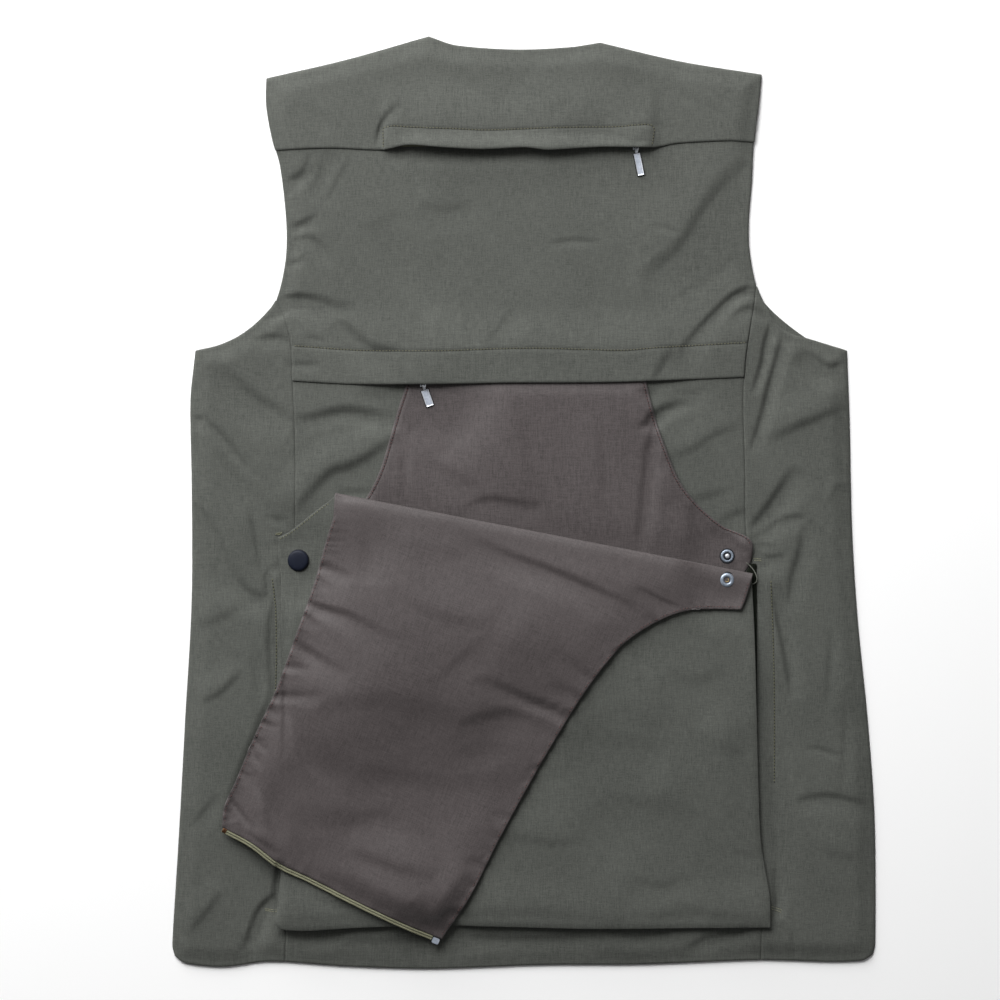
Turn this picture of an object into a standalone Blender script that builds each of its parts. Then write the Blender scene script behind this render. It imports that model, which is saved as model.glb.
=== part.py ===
"""Shooting vest, laid flat with its back up and the game bag on the back opened.

The fronts lie on the surface and every other piece lies on the one below it. Each cloth
piece is cut from its flat outline, ruled with one lattice that all pieces share, and then
laid at the height of its layer. The bag's front panel is cut with its turned-down part and
folded over along a slanting line, as the real one is.

Sizes are in millimetres here and become metres when a piece is made. X runs across the
back, Y from the hem to the neck, and Z up from the surface that the vest lies on.
"""

import math
from collections import namedtuple

import bmesh
import bpy
from mathutils import Matrix, Vector

MM = 0.001

# Layers
CLOTH = 1.0
GAP = 0.3
LAYER = CLOTH + GAP
BODY_LEVEL = LAYER
LINING_LEVEL = 2 * LAYER
BAG_LEVEL = 3 * LAYER
LATTICE = 12.0
EDGE_SPACING = 13.0
SEAM_INSET = GAP / 2
FLAT_ANGLE = math.radians(0.7)

# A layer that passes over a piece comes down again over this run, and bulges over a slider
LIFT_RUN = 14.0
SLIDER_SPREAD = 20.0
SLIDER_STAND = 2.9
ZIP_STAND = 1.9

# Rolled edges, where the back's cloth turns down to meet the fronts
ROLL_WIDTH = 4.0
ROLL_LIFT = 0.15
FRONT_INSET = 6.0

Point = namedtuple("Point", "x y")
Fold = namedtuple("Fold", "x1 y1 x2 y2 width height")


def rows(kind, *values):
    return [kind(*value) for value in values]


# The outline of the body: each edge has a row for each point that its shape needs
SIDE_LEFT = rows(
    Point, (-261, 120.5), (-265, 81), (-264, 17), (-264, -79), (-269, -171), (-274, -263),
    (-279.5, -355), (-277.5, -363)
)
SIDE_RIGHT = rows(
    Point, (259, 120.5), (261, 65), (263, -23), (267.5, -95), (275.5, -175), (281, -255),
    (281.5, -355), (279.5, -362)
)
HEM = rows(
    Point, (-277.5, -363), (-270, -368.5), (-240, -371.5), (-208, -367.5), (-190, -367.5), (-142, -371),
    (-74, -373), (14, -370), (94, -369.5), (191, -366), (246, -367.5), (272, -366.5), (279.5, -362)
)
ARMHOLE_LEFT = rows(
    Point, (-261, 120.5), (-243.5, 124.5), (-226, 132.5), (-210, 145), (-197, 161), (-189.5, 193),
    (-189, 225), (-194, 269), (-200, 291), (-204.5, 317), (-204.5, 338)
)
ARMHOLE_RIGHT = rows(
    Point, (259, 120.5), (231.5, 129), (209, 136.5), (195, 155), (187, 172.5), (181.5, 201),
    (181, 225), (183.5, 257), (185, 288), (188.5, 317), (191, 341)
)
SHOULDER_LEFT = rows(Point, (-204.5, 338), (-142, 352.5), (-75, 371.5))
SHOULDER_RIGHT = rows(Point, (191, 341), (126, 351.5), (62, 366.5))
NECK = rows(Point, (-75, 371.5), (-54, 364.5), (-6, 361), (39.5, 363), (62, 366.5))

# Seams and free edges on the back
SEAM_LEFT = rows(
    Point, (-190, -367.5), (-189.4, -339), (-185, -119), (-182, -7), (-182, 45), (-184, 96.5),
    (-185, 125), (-187.5, 137), (-191, 147.5), (-197, 161)
)
SEAM_RIGHT = rows(
    Point, (191, -366), (191, -339), (187.5, -207), (188, -135), (187.5, -71), (179, -25), (178, 25),
    (176.5, 79.5), (178, 112.5), (182, 139.5), (185, 155.5), (187, 172.5)
)
YOKE_EDGE = rows(
    Point, (-197, 281), (-153, 282.5), (-111, 281), (-92, 284.5), (-71, 283), (-33, 281), (2, 282.5),
    (20, 280.5), (62, 283), (104, 283), (123, 286.5), (164, 288.5), (185, 287.5)
)
BAND_EDGE = rows(
    Point, (-184, 96.5), (-137, 94), (-71, 94), (-14, 95), (71.5, 95.5), (140, 98), (177, 99.5)
)
YOKE_SEAM_TOP = 292.0
BAND_SEAM_TOP = 112.0

# Game bag
LINING_LEFT = rows(
    Point, (-93, 108), (-93, 94), (-100.5, 70), (-107.5, 45), (-114, 24), (-126, 1), (-150, -24),
    (-172, -40), (-175.5, -60), (-175.5, -325)
)
LINING_RIGHT = rows(
    Point, (171.7, -325), (171.7, -70), (176, -59), (182.3, -48), (182.6, -31), (161, -20.5), (150, -12),
    (136.5, 1), (125, 16.5), (115.5, 39), (106.5, 65), (99, 94), (99, 108)
)
BAG_BOTTOM = rows(
    Point, (-196.3, -334.5), (-194, -340), (-187, -341.6), (-172.5, -342), (-115.5, -339), (-53, -338),
    (54, -340.5), (142, -340), (197.5, -339.5)
)
BAG_RIGHT = rows(
    Point, (197.5, -339.5), (197, -315), (190, -271.5), (187.5, -207), (185, -111), (183, -64)
)
BAG_LEFT = rows(
    Point, (-194.8, -28.6), (-194.6, -47), (-192.8, -59), (-192.4, -79), (-191.5, -159), (-191.6, -279),
    (-192.6, -300), (-194.6, -318), (-196.3, -334.5)
)
BAG_CORNER_EDGE = rows(Point, (-155.5, -0.8), (-162, -5.4), (-178, -18.2), (-186.8, -24.8), (-194.8, -28.6))
FOLD_START = Point(-149, 7)
FOLD_END = Point(183.6, -57.2)
FLAP_LEFT = rows(
    Point, (-150.5, -12.5), (-156.5, -31), (-166, -64.5), (-181, -107.5), (-197, -151),
    (-214.5, -189), (-230, -226), (-238, -243.5), (-239.5, -259.5)
)
ZIP_EDGE = rows(
    Point, (-239.5, -259.5), (-214, -273), (-193, -288.5), (-171.5, -298.5), (-128.5, -320),
    (-86, -340), (-64.5, -349)
)
FLAP_RIGHT = rows(
    Point, (-64.5, -349), (-41, -313), (-16.5, -265), (19, -201), (51.5, -148.5), (77, -116.5), (94, -103),
    (118, -90.5), (135, -86), (153, -85.5), (174.4, -86)
)
FLAP_CORNER = rows(Point, (174.4, -86), (177.5, -79), (180, -71), (182.6, -62.5))
FLAP_DROP_X = (-204.0, -226.0)
GUSSET_RIGHT_INNER = rows(Point, (183.1, -50), (178, -59), (172.2, -70), (172, -100), (172, -338))
GUSSET_RIGHT_OUTER = rows(Point, (186, -338), (186.6, -207), (186.6, -71), (186.6, -50))
GUSSET_LEFT_X = (-189.0, -175.8)
GUSSET_TOP_LEFT = -62.0
GUSSET_BOTTOM_Y = (-338.0, -325.3)

# Fronts, which lie underneath and are plain. Both are cut alike, one mirrored.
FRONT_ARMHOLE = rows(
    Point, (252, 117), (215, 132), (185, 160), (168, 200), (164, 250), (172, 300), (185, 334)
)
FRONT_NECK = rows(Point, (62, 357), (58, 335), (46, 300), (26, 272), (9, 262))
FRONT_HEM_INSET = 1.5
FRONT_ZIP_WIDTH = 12.0
FRONT_ZIP_FOOT = -368.0
FRONT_SLIDER_LENGTH = 11.0

# Zip tapes and metal. A pull's tip is the middle of its far end.
YOKE_ZIP_X = (-104.0, 100.0)
YOKE_ZIP_Y = (283.6, 297.0)
BAG_ZIP_X = (-88.0, 94.0)
BAG_ZIP_Y = (102.2, 111.5)
YOKE_SLIDER = Point(90.5, 287.3)
YOKE_PIVOT = Point(90.5, 281.7)
YOKE_TIP = Point(94.8, 260.4)
YOKE_PULL_WIDTH = 5.8
BAG_SLIDER = Point(-79.4, 98.2)
BAG_PIVOT = Point(-79.4, 92.4)
BAG_TIP = Point(-73.6, 76.0)
BAG_PULL_WIDTH = 6.7
SLIDER_SIZE = (8.0, 6.8, 2.4)
SLIDER_FLOOR = 3 * LAYER
EYE_LIFT = 2.1
EYE_LENGTH = 2.2
EYE_RADIUS = 1.25
EYE_WALL = 0.5
PIN_RADIUS = 0.42
EAR = (0.9, 1.1)
EAR_OVERLAP = 0.8
SLIDER_CORNER = 1.6
PULL_LIFT = 0.35
PULL_THICKNESS = 1.2
PULL_CORNER = 1.1
PULL_RIM = 0.8
PULL_SINK = 0.25
NECK_WIDTH = 2.2
NECK_LENGTH = 3.0
NECK_THICKNESS = 1.1
NECK_OVERLAP = 0.5
FLAP_ZIP_WIDTH = 4.4
FLAP_ZIP_END_X = -73.0
FLAP_ZIP_LIFT = 0.5
FLAP_ZIP_THICKNESS = 1.6
ZIP_BOX = Point(-69.3, -350.2)
ZIP_BOX_SIZE = (5.6, 4.6, 2.4)
ZIP_BOX_CORNER = 0.9
ZIP_BOX_TURN = math.radians(-22.7)

# Snaps. Each profile runs from the axis underneath, round the rim, to the axis on top.
Ring = namedtuple("Ring", "radius height")
SNAP_SIDES = 20
CAP = Point(-179, -47)
STUD = Point(163.5, -43.5)
SOCKET = Point(163, -62.6)
CAP_PROFILE = rows(Ring, (0, 0), (8.1, 0), (8.6, 0.7), (8.2, 1.5), (6.4, 2.2), (0, 2.6))
STUD_PROFILE = rows(
    Ring, (0, 0), (5.7, 0), (5.7, 0.6), (4.8, 1.1), (2.6, 1.2), (1.8, 1.6), (2.2, 2.4), (1.7, 3.1), (0, 3.4)
)
SOCKET_PROFILE = rows(
    Ring, (0, 0), (6.3, 0), (6.3, 0.9), (5.6, 1.7), (3.4, 2.0), (2.5, 1.7), (2.5, 0.6), (0, 0.6)
)

# The largest soft folds: a ridge from one end to the other, its half width and its height
BODY_FOLDS = rows(
    Fold,
    (-176, 74, -108, 80, 15, 2.2),
    (-170, 50, -112, 58, 15, 2.0),
    (-158, 12, -108, 40, 17, 2.8),
    (-246, 72, -206, 2, 20, 3.2),
    (-262, 2, -216, -22, 18, 2.2),
    (-214, -70, -212, -112, 15, 2.2),
    (-204, -300, -222, -360, 20, 3.0),
    (-232, -215, -262, -168, 20, 2.2),
    (192, -28, 240, 88, 18, 3.0),
    (194, -40, 258, 48, 17, 2.6),
    (204, -78, 222, -152, 18, 3.0),
    (232, -240, 268, -246, 18, 2.2),
    (212, -340, 226, -366, 14, 2.4),
    (240, -120, 262, -150, 18, 2.0),
    (196, 134, 190, 82, 15, 2.6),
    (208, 128, 202, 78, 14, 2.0),
    (-186, 262, -146, 198, 18, 2.6),
    (-188, 216, -150, 178, 16, 2.2),
    (-184, 158, -120, 162, 18, 2.4),
    (178, 232, 94, 186, 20, 3.0),
    (178, 184, 112, 146, 18, 2.4),
    (26, 214, -30, 196, 20, 1.8),
    (110, 226, 152, 214, 16, 1.6),
    (-60, 238, -24, 214, 18, 1.6),
    (-150, 330, -96, 340, 18, 1.6),
)
BAG_FOLDS = rows(
    Fold,
    (100, -160, 146, -212, 22, 2.2),
    (80, -272, 128, -306, 20, 2.2),
    (146, -282, 184, -318, 18, 2.4),
)
FLAP_FOLDS = rows(
    Fold,
    (-150, -62, -60, -86, 22, 3.6),
    (-176, -120, -66, -150, 22, 3.6),
    (-98, -210, 30, -150, 24, 5.0),
    (10, -128, 62, -150, 20, 3.4),
    (-206, -206, -150, -226, 20, 3.6),
    (-226, -240, -196, -262, 16, 2.4),
    (-120, -262, -60, -300, 22, 3.4),
    (30, -62, 130, -76, 16, 2.2),
)


def smooth(points, spacing=EDGE_SPACING):
    """The points of a curve through these, about the spacing apart."""
    path = [Vector((p.x, p.y)) for p in points]
    ends = [2 * path[0] - path[1], *path, 2 * path[-1] - path[-2]]
    curve = [path[0]]
    for before, start, end, after in zip(ends, ends[1:], ends[2:], ends[3:]):
        steps = max(1, math.ceil((end - start).length / spacing))
        pull_in = (end - before) / 2 * min(1, (end - start).length / max((start - before).length, 1e-6))
        pull_out = (after - start) / 2 * min(1, (end - start).length / max((after - end).length, 1e-6))
        for step in range(1, steps + 1):
            t = step / steps
            curve.append(
                (2 * t**3 - 3 * t**2 + 1) * start
                + (t**3 - 2 * t**2 + t) * pull_in
                + (3 * t**2 - 2 * t**3) * end
                + (t**3 - t**2) * pull_out
            )
    return curve


def between(path, axis, low, high):
    """The stretch of a path whose x (axis 0) or y (axis 1) lies between two values."""
    kept = []
    for start, end in zip(path, path[1:]):
        limits = [limit for limit in (low, high) if (start[axis] - limit) * (end[axis] - limit) < 0]
        limits.sort(key=lambda limit: abs(limit - start[axis]))
        if low <= start[axis] <= high:
            kept.append(start)
        kept += [start.lerp(end, (limit - start[axis]) / (end[axis] - start[axis])) for limit in limits]
    if low <= path[-1][axis] <= high:
        kept.append(path[-1])
    return kept


def joined(*paths):
    """One closed outline from paths that follow each other, without repeated points."""
    outline = []
    for point in (point for path in paths for point in path):
        if not outline or (point - outline[-1]).length > 0.05:
            outline.append(point)
    return outline[:-1] if (outline[0] - outline[-1]).length < 0.05 else outline


def inset(outline, amount=SEAM_INSET):
    """An anticlockwise outline moved inwards."""
    moved = []
    for index, point in enumerate(outline):
        along = (outline[(index + 1) % len(outline)] - outline[index - 1]).normalized()
        moved.append(point + amount * Vector((-along.y, along.x)))
    return moved


def offset_path(path, amount):
    """An open path moved to its right."""
    moved = []
    for index, point in enumerate(path):
        along = (path[min(index + 1, len(path) - 1)] - path[max(index - 1, 0)]).normalized()
        moved.append(point + amount * Vector((along.y, -along.x)))
    return moved


def ramp(value, none, full):
    """0 at none, 1 at full and beyond, with a soft start and end."""
    t = min(1.0, max(0.0, (value - none) / (full - none)))
    return t * t * (3 - 2 * t)


def fold_height(folds, x, y):
    """How far the soft folds of a table lift the cloth at a point."""
    height = 0.0
    for fold in folds:
        start, end = Vector((fold.x1, fold.y1)), Vector((fold.x2, fold.y2))
        along = end - start
        share = (Vector((x, y)) - start).dot(along) / along.length_squared
        away = (Vector((x, y)) - start.lerp(end, min(1.0, max(0.0, share)))).length
        if away < fold.width:
            height = max(height, fold.height * (1 + math.cos(math.pi * away / fold.width)) / 2)
    return height


def on_lattice(height):
    """The height function read only at the lattice's points and straight in each triangle between them."""
    known = {}

    def at(column, row):
        if (column, row) not in known:
            known[column, row] = height(column * LATTICE, row * LATTICE)
        return known[column, row]

    def lattice_height(x, y):
        column, row = math.floor(x / LATTICE), math.floor(y / LATTICE)
        right, up = x / LATTICE - column, y / LATTICE - row
        if right + up <= 1:
            corner = at(column, row)
            return corner + right * (at(column + 1, row) - corner) + up * (at(column, row + 1) - corner)
        left, down = 1 - right, 1 - up
        corner = at(column + 1, row + 1)
        return corner + left * (at(column, row + 1) - corner) + down * (at(column + 1, row) - corner)

    return lattice_height


# How high each layer lies
def lifted(value, edge):
    """1 up to one lattice step past an edge, so the straight stretches there clear it, then down to 0."""
    return ramp(-value, -(edge + LATTICE + LIFT_RUN), -(edge + LATTICE))


def near_slider(x, y, slider):
    """1 over a slider, fading with distance."""
    return math.exp(-((x - slider.x) ** 2 + (y - slider.y) ** 2) / (2 * SLIDER_SPREAD**2))


def yoke_level(x, y):
    over_panel = lifted(y, YOKE_ZIP_Y[1])
    over_zip = lifted(x, YOKE_ZIP_X[1]) * lifted(-x, -YOKE_ZIP_X[0])
    slider = SLIDER_STAND * near_slider(x, y, YOKE_SLIDER)
    return BODY_LEVEL + over_panel * (LAYER + over_zip * (ZIP_STAND + slider))


def back_panel_level(x, y):
    over_lower = lifted(y, BAND_SEAM_TOP)
    over_bag = lifted(x, LINING_RIGHT[-1].x) * lifted(-x, -LINING_LEFT[0].x)
    slider = SLIDER_STAND * near_slider(x, y, BAG_SLIDER)
    return BODY_LEVEL + over_lower * (LAYER + over_bag * (2 * LAYER + slider))


def flap_drop(x, y):
    """How far the flap comes down where it reaches past the bag's left edge onto the side."""
    return 3 * LAYER * ramp(-x, -FLAP_DROP_X[0], -FLAP_DROP_X[1])


body_folds = on_lattice(lambda x, y: fold_height(BODY_FOLDS, x, y))
bag_folds = on_lattice(lambda x, y: fold_height(BODY_FOLDS, x, y) + fold_height(BAG_FOLDS, x, y))
flap_folds = on_lattice(lambda x, y: fold_height(FLAP_FOLDS, x, y) - flap_drop(x, y))
yoke_height = on_lattice(lambda x, y: yoke_level(x, y) + fold_height(BODY_FOLDS, x, y))
back_panel_height = on_lattice(lambda x, y: back_panel_level(x, y) + fold_height(BODY_FOLDS, x, y))


def body_height(x, y):
    return BODY_LEVEL + body_folds(x, y)


def lining_height(x, y):
    return LINING_LEVEL + body_folds(x, y)


def flat_height(x, y):
    return 0.0


# Materials
GREEN = (0.122, 0.136, 0.110)
BROWN = (0.110, 0.092, 0.092)
OLIVE = (0.175, 0.185, 0.118)
METAL = (0.55, 0.57, 0.60)
NAVY = (0.016, 0.018, 0.030)


def material(name, colour, roughness, metallic=0.0):
    made = bpy.data.materials.get(name) or bpy.data.materials.new(name)
    made.use_nodes = True
    shader = made.node_tree.nodes["Principled BSDF"]
    shader.inputs["Base Color"].default_value = (*colour, 1)
    shader.inputs["Roughness"].default_value = roughness
    shader.inputs["Metallic"].default_value = metallic
    return made


def middle_of(*paths):
    """The middle of the box round some paths, on the surface."""
    lows_highs = [(min(values), max(values)) for values in zip(*(point for path in paths for point in path))]
    return Vector((*(sum(pair) / 2 for pair in lows_highs), 0))


CENTRE = middle_of(smooth(HEM), smooth(SIDE_LEFT), smooth(SIDE_RIGHT), smooth(SHOULDER_LEFT))


def finish(name, bm, look, origin=CENTRE):
    """Makes the object of a mesh in millimetres, its origin at a point; the body's middle is the scene's."""
    bmesh.ops.recalc_face_normals(bm, faces=bm.faces)
    mesh = bpy.data.meshes.new(name)
    bm.transform(Matrix.Scale(MM, 4) @ Matrix.Translation(-Vector(origin)))
    bm.to_mesh(mesh)
    bm.free()
    made = bpy.data.objects.new(name, mesh)
    made.location = MM * (Vector(origin) - CENTRE)
    made.data.materials.append(look)
    bpy.context.scene.collection.objects.link(made)
    return made


# Cloth
def rule_lattice(bm):
    """Cuts a flat pattern along the lattice: lines across, lines up and one diagonal."""
    across = [vert.co.x for vert in bm.verts]
    up = [vert.co.y for vert in bm.verts]
    slant = [vert.co.x + vert.co.y for vert in bm.verts]
    for values, normal in ((across, (1, 0, 0)), (up, (0, 1, 0)), (slant, (1, 1, 0))):
        for line in range(math.ceil(min(values) / LATTICE), math.floor(max(values) / LATTICE) + 1):
            share = line * LATTICE / Vector(normal).length_squared
            bmesh.ops.bisect_plane(
                bm,
                geom=bm.verts[:] + bm.edges[:] + bm.faces[:],
                dist=0.02,
                plane_co=share * Vector(normal),
                plane_no=normal,
            )


def pattern(outline, rolled=()):
    """A flat pattern with lattice lines. A rolled edge is (path, way in), and its z is 1 along it."""
    bm = bmesh.new()
    made = {}

    def vert_at(point, roll=0.0):
        key = (round(point.x, 3), round(point.y, 3), roll)
        if key not in made:
            made[key] = bm.verts.new((point.x, point.y, roll))
        return made[key]

    inner = list(outline)
    for path, way_in in rolled:
        places = [min(range(len(outline)), key=lambda i, p=point: (outline[i] - p).length) for point in path]
        shifted = [point + ROLL_WIDTH * Vector(way_in) for point in path]
        for end in (0, -1):
            neighbours = [outline[(places[end] + step) % len(outline)] for step in (-1, 1)]
            beside = max(neighbours, key=lambda point: min((point - other).length for other in path))
            shifted[end] = path[end] + ROLL_WIDTH * (beside - path[end]).normalized()
        for place, point in zip(places, shifted):
            inner[place] = point
        for start, end, inner_end, inner_start in zip(path, path[1:], shifted[1:], shifted):
            bm.faces.new(
                [vert_at(start, 1.0), vert_at(end, 1.0), vert_at(inner_end), vert_at(inner_start)]
            )
    bm.faces.new([vert_at(point) for point in inner])
    bmesh.ops.recalc_face_normals(bm, faces=bm.faces)
    rule_lattice(bm)
    return bm


def thicken(bm, place):
    """Gives a pattern its two sides: place(x, y, turn, side) is where a pattern point goes."""
    under = bm.verts[:]
    upper = [
        part
        for part in bmesh.ops.extrude_face_region(bm, geom=bm.faces[:])["geom"]
        if isinstance(part, bmesh.types.BMVert)
    ]
    for side, verts in enumerate((under, upper)):
        for vert in verts:
            vert.co = place(*vert.co, side)
    bmesh.ops.recalc_face_normals(bm, faces=bm.faces)
    bmesh.ops.dissolve_limit(bm, angle_limit=FLAT_ANGLE, verts=bm.verts, edges=bm.edges)
    bmesh.ops.triangulate(bm, faces=bm.faces)


def cloth(name, outline, height, look, rolled=(), thickness=CLOTH, seam=SEAM_INSET):
    """A cloth wall of one thickness that lies at a height, its rolled edges turned down."""
    bm = pattern(inset(outline, seam) if seam else outline, rolled)

    def place(x, y, roll, side):
        under = (1 - roll) * height(x, y) + roll * ROLL_LIFT
        return Vector((x, y, under + side * thickness))

    thicken(bm, place)
    return finish(name, bm, look)


def strip(name, x_range, y_range, height, look, thickness=CLOTH):
    """A straight strip of cloth or tape."""
    (left, right), (low, high) = x_range, y_range
    corners = [Vector(corner) for corner in ((left, low), (right, low), (right, high), (left, high))]
    return cloth(name, corners, height, look, thickness=thickness, seam=0)


def add_body(green):
    armhole_left, armhole_right = smooth(ARMHOLE_LEFT), smooth(ARMHOLE_RIGHT)
    seam_left, seam_right = smooth(SEAM_LEFT), smooth(SEAM_RIGHT)
    side_left, side_right = smooth(SIDE_LEFT), smooth(SIDE_RIGHT)
    hem, yoke_edge, band_edge = smooth(HEM), smooth(YOKE_EDGE), smooth(BAND_EDGE)
    shoulder_left, shoulder_right, neck = smooth(SHOULDER_LEFT), smooth(SHOULDER_RIGHT), smooth(NECK)
    seam_foot_left, seam_foot_right = seam_left[0], seam_right[0]
    arm_joint_left, arm_joint_right = seam_left[-1], seam_right[-1]

    cloth(
        "side_left",
        joined(
            between(hem, 0, hem[0].x, seam_foot_left.x),
            seam_left,
            between(armhole_left, 1, 0, arm_joint_left.y)[::-1],
            side_left,
        ),
        body_height,
        green,
        rolled=[(side_left, (1, 0))],
        seam=0,
    )
    cloth(
        "side_right",
        joined(
            between(hem, 0, seam_foot_right.x, hem[-1].x),
            side_right[::-1],
            between(armhole_right, 1, 0, arm_joint_right.y),
            seam_right[::-1],
        ),
        body_height,
        green,
        rolled=[(side_right, (-1, 0))],
        seam=0,
    )
    cloth(
        "back_lower",
        joined(
            between(hem, 0, seam_foot_left.x, seam_foot_right.x),
            between(seam_right, 1, seam_foot_right.y, BAND_SEAM_TOP),
            between(seam_left, 1, seam_foot_left.y, BAND_SEAM_TOP)[::-1],
        ),
        body_height,
        green,
        seam=GAP,
    )
    cloth(
        "back_panel",
        joined(
            band_edge,
            between(seam_right, 1, band_edge[-1].y, arm_joint_right.y),
            between(armhole_right, 1, arm_joint_right.y, YOKE_SEAM_TOP),
            between(armhole_left, 1, arm_joint_left.y, YOKE_SEAM_TOP)[::-1],
            between(seam_left, 1, band_edge[0].y, arm_joint_left.y)[::-1],
        ),
        back_panel_height,
        green,
        seam=GAP,
    )
    cloth(
        "yoke",
        joined(
            yoke_edge,
            between(armhole_right, 1, yoke_edge[-1].y, armhole_right[-1].y),
            shoulder_right,
            neck[::-1],
            shoulder_left[::-1],
            between(armhole_left, 1, yoke_edge[0].y, armhole_left[-1].y)[::-1],
        ),
        yoke_height,
        green,
        rolled=[(shoulder_left, (0, -1)), (shoulder_right, (0, -1))],
        seam=0,
    )


def front_outline(way, side_edge):
    """The outline of one front: way is 1 on the right of the middle and -1 on the left."""

    def placed(points):
        return [Vector((way * point.x, point.y)) for point in points]

    middle = FRONT_ZIP_WIDTH / 2 + GAP
    side = [point - Vector((way * FRONT_INSET, 0)) for point in side_edge]
    hem = [point + Vector((0, FRONT_HEM_INSET)) for point in smooth(HEM)]
    foot = between(hem, 0, *sorted((way * middle, side[-1].x)))
    return joined(
        foot[::way],
        side[:-1][::-1],
        placed(smooth(FRONT_ARMHOLE)),
        placed(smooth(FRONT_NECK)),
        placed([Point(middle, FRONT_NECK[-1].y)]),
    )


def add_fronts(green, olive, metal):
    for name, way, side_edge in (("front_left", -1, SIDE_LEFT), ("front_right", 1, SIDE_RIGHT)):
        bm = bmesh.new()
        bm.faces.new([bm.verts.new((*point, 0)) for point in front_outline(way, smooth(side_edge))])
        upper = bmesh.ops.extrude_face_region(bm, geom=bm.faces[:])["geom"]
        upper = [part for part in upper if isinstance(part, bmesh.types.BMVert)]
        bmesh.ops.translate(bm, verts=upper, vec=(0, 0, CLOTH))
        finish(name, bm, green)
    half = FRONT_ZIP_WIDTH / 2
    top = FRONT_NECK[-1].y
    slider_foot = top - FRONT_SLIDER_LENGTH
    strip("front_zip", (-half, half), (FRONT_ZIP_FOOT, slider_foot - GAP), flat_height, olive)
    strip("front_zip_slider", (-half, half), (slider_foot, top), flat_height, metal)


# Game bag
def add_bag_back(green, brown):
    cloth("bag_lining", joined(smooth(LINING_LEFT), smooth(LINING_RIGHT)), lining_height, brown)
    low, high = GUSSET_BOTTOM_Y
    bottom_x = (GUSSET_LEFT_X[1] + GAP, GUSSET_RIGHT_INNER[-1].x - GAP)
    strip("gusset_left", GUSSET_LEFT_X, (low, GUSSET_TOP_LEFT), lining_height, green)
    strip("gusset_bottom", bottom_x, (low, high), lining_height, green)
    gusset_outline = joined(smooth(GUSSET_RIGHT_INNER), smooth(GUSSET_RIGHT_OUTER))
    cloth("gusset_right", gusset_outline, lining_height, green, seam=0)


class BagFold:
    """The slanting line over which the bag's front panel turns, with its two layers one inside the other."""

    along = Vector((FOLD_END.x - FOLD_START.x, FOLD_END.y - FOLD_START.y)).normalized()
    out = Vector((-along.y, along.x))
    inner_radius = GAP / 2 + CLOTH / 2
    outer_radius = inner_radius + LAYER
    reach = outer_radius + CLOTH / 2
    start = Vector(FOLD_START) - reach * out
    end = Vector(FOLD_END) - reach * out
    middle_level = BAG_LEVEL + reach
    steps = 4


def bag_front_pattern():
    """The front panel as cut: the part that stays, with z 0, and the part folded down, with z 1."""
    stays = pattern(
        joined(
            smooth(BAG_BOTTOM),
            smooth(BAG_RIGHT),
            [BagFold.end, BagFold.start],
            smooth(BAG_CORNER_EDGE),
            smooth(BAG_LEFT),
        )
    )
    on_fold = [
        edge
        for edge in stays.edges
        if all(abs((vert.co.xy - BagFold.start).dot(BagFold.out)) < 0.01 for vert in edge.verts)
    ]
    for step in range(1, BagFold.steps + 1):
        turned = bmesh.ops.extrude_edge_only(stays, edges=on_fold)["geom"]
        on_fold = [part for part in turned if isinstance(part, bmesh.types.BMEdge)]
        for vert in (part for part in turned if isinstance(part, bmesh.types.BMVert)):
            vert.co.z = step / BagFold.steps
    flap = pattern(
        joined(
            [BagFold.start],
            smooth(FLAP_LEFT),
            smooth(ZIP_EDGE),
            smooth(FLAP_RIGHT),
            smooth(FLAP_CORNER),
            [BagFold.end],
        )
    )
    bmesh.ops.translate(flap, verts=flap.verts, vec=(0, 0, 1))
    carrier = bpy.data.meshes.new("flap pattern")
    flap.to_mesh(carrier)
    flap.free()
    stays.from_mesh(carrier)
    bpy.data.meshes.remove(carrier)
    bmesh.ops.remove_doubles(stays, verts=stays.verts, dist=0.01)
    return stays


def add_bag_front(name, radius, look):
    """One layer of the front panel, folded: the turn's share of half a circle is the pattern's z."""

    def place(x, y, turn, side):
        ring = radius + CLOTH * (0.5 - side)
        level = BagFold.middle_level + bag_folds(x, y) - ring * math.cos(math.pi * turn)
        if turn > 0.999:
            level += flap_folds(x, y)
        shifted = Vector((x, y)) + ring * math.sin(math.pi * turn) * BagFold.out
        return Vector((*shifted, level))

    bm = bag_front_pattern()
    thicken(bm, place)
    finish(name, bm, look)


def flap_height(x, y):
    return BAG_LEVEL + 2 * LAYER + bag_folds(x, y) + flap_folds(x, y)


# Zips
def add_tapes(olive):
    strip("yoke_zip", YOKE_ZIP_X, YOKE_ZIP_Y, lining_height, olive)
    strip("bag_zip", BAG_ZIP_X, BAG_ZIP_Y, lambda x, y: BAG_LEVEL + body_folds(x, y), olive)
    edge = between(smooth(ZIP_EDGE), 0, ZIP_EDGE[0].x, FLAP_ZIP_END_X)
    outline = joined(offset_path(edge, GAP), offset_path(edge, GAP + FLAP_ZIP_WIDTH)[::-1])
    cloth(
        "flap_zip",
        outline,
        lambda x, y: flap_height(x, y) + FLAP_ZIP_LIFT,
        olive,
        thickness=FLAP_ZIP_THICKNESS,
        seam=0,
    )


def block(size, corner_radius=0.0, segments=2):
    """A box about the origin, its upright edges rounded."""
    bm = bmesh.new()
    bmesh.ops.create_cube(bm, size=1)
    bmesh.ops.scale(bm, verts=bm.verts, vec=size)
    if corner_radius:
        upright = [edge for edge in bm.edges if abs(edge.verts[0].co.z - edge.verts[1].co.z) > 0.01]
        bmesh.ops.bevel(
            bm, geom=upright, offset=corner_radius, affect="EDGES", segments=segments, profile=0.5,
            material=-1,
        )
    return bm


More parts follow.
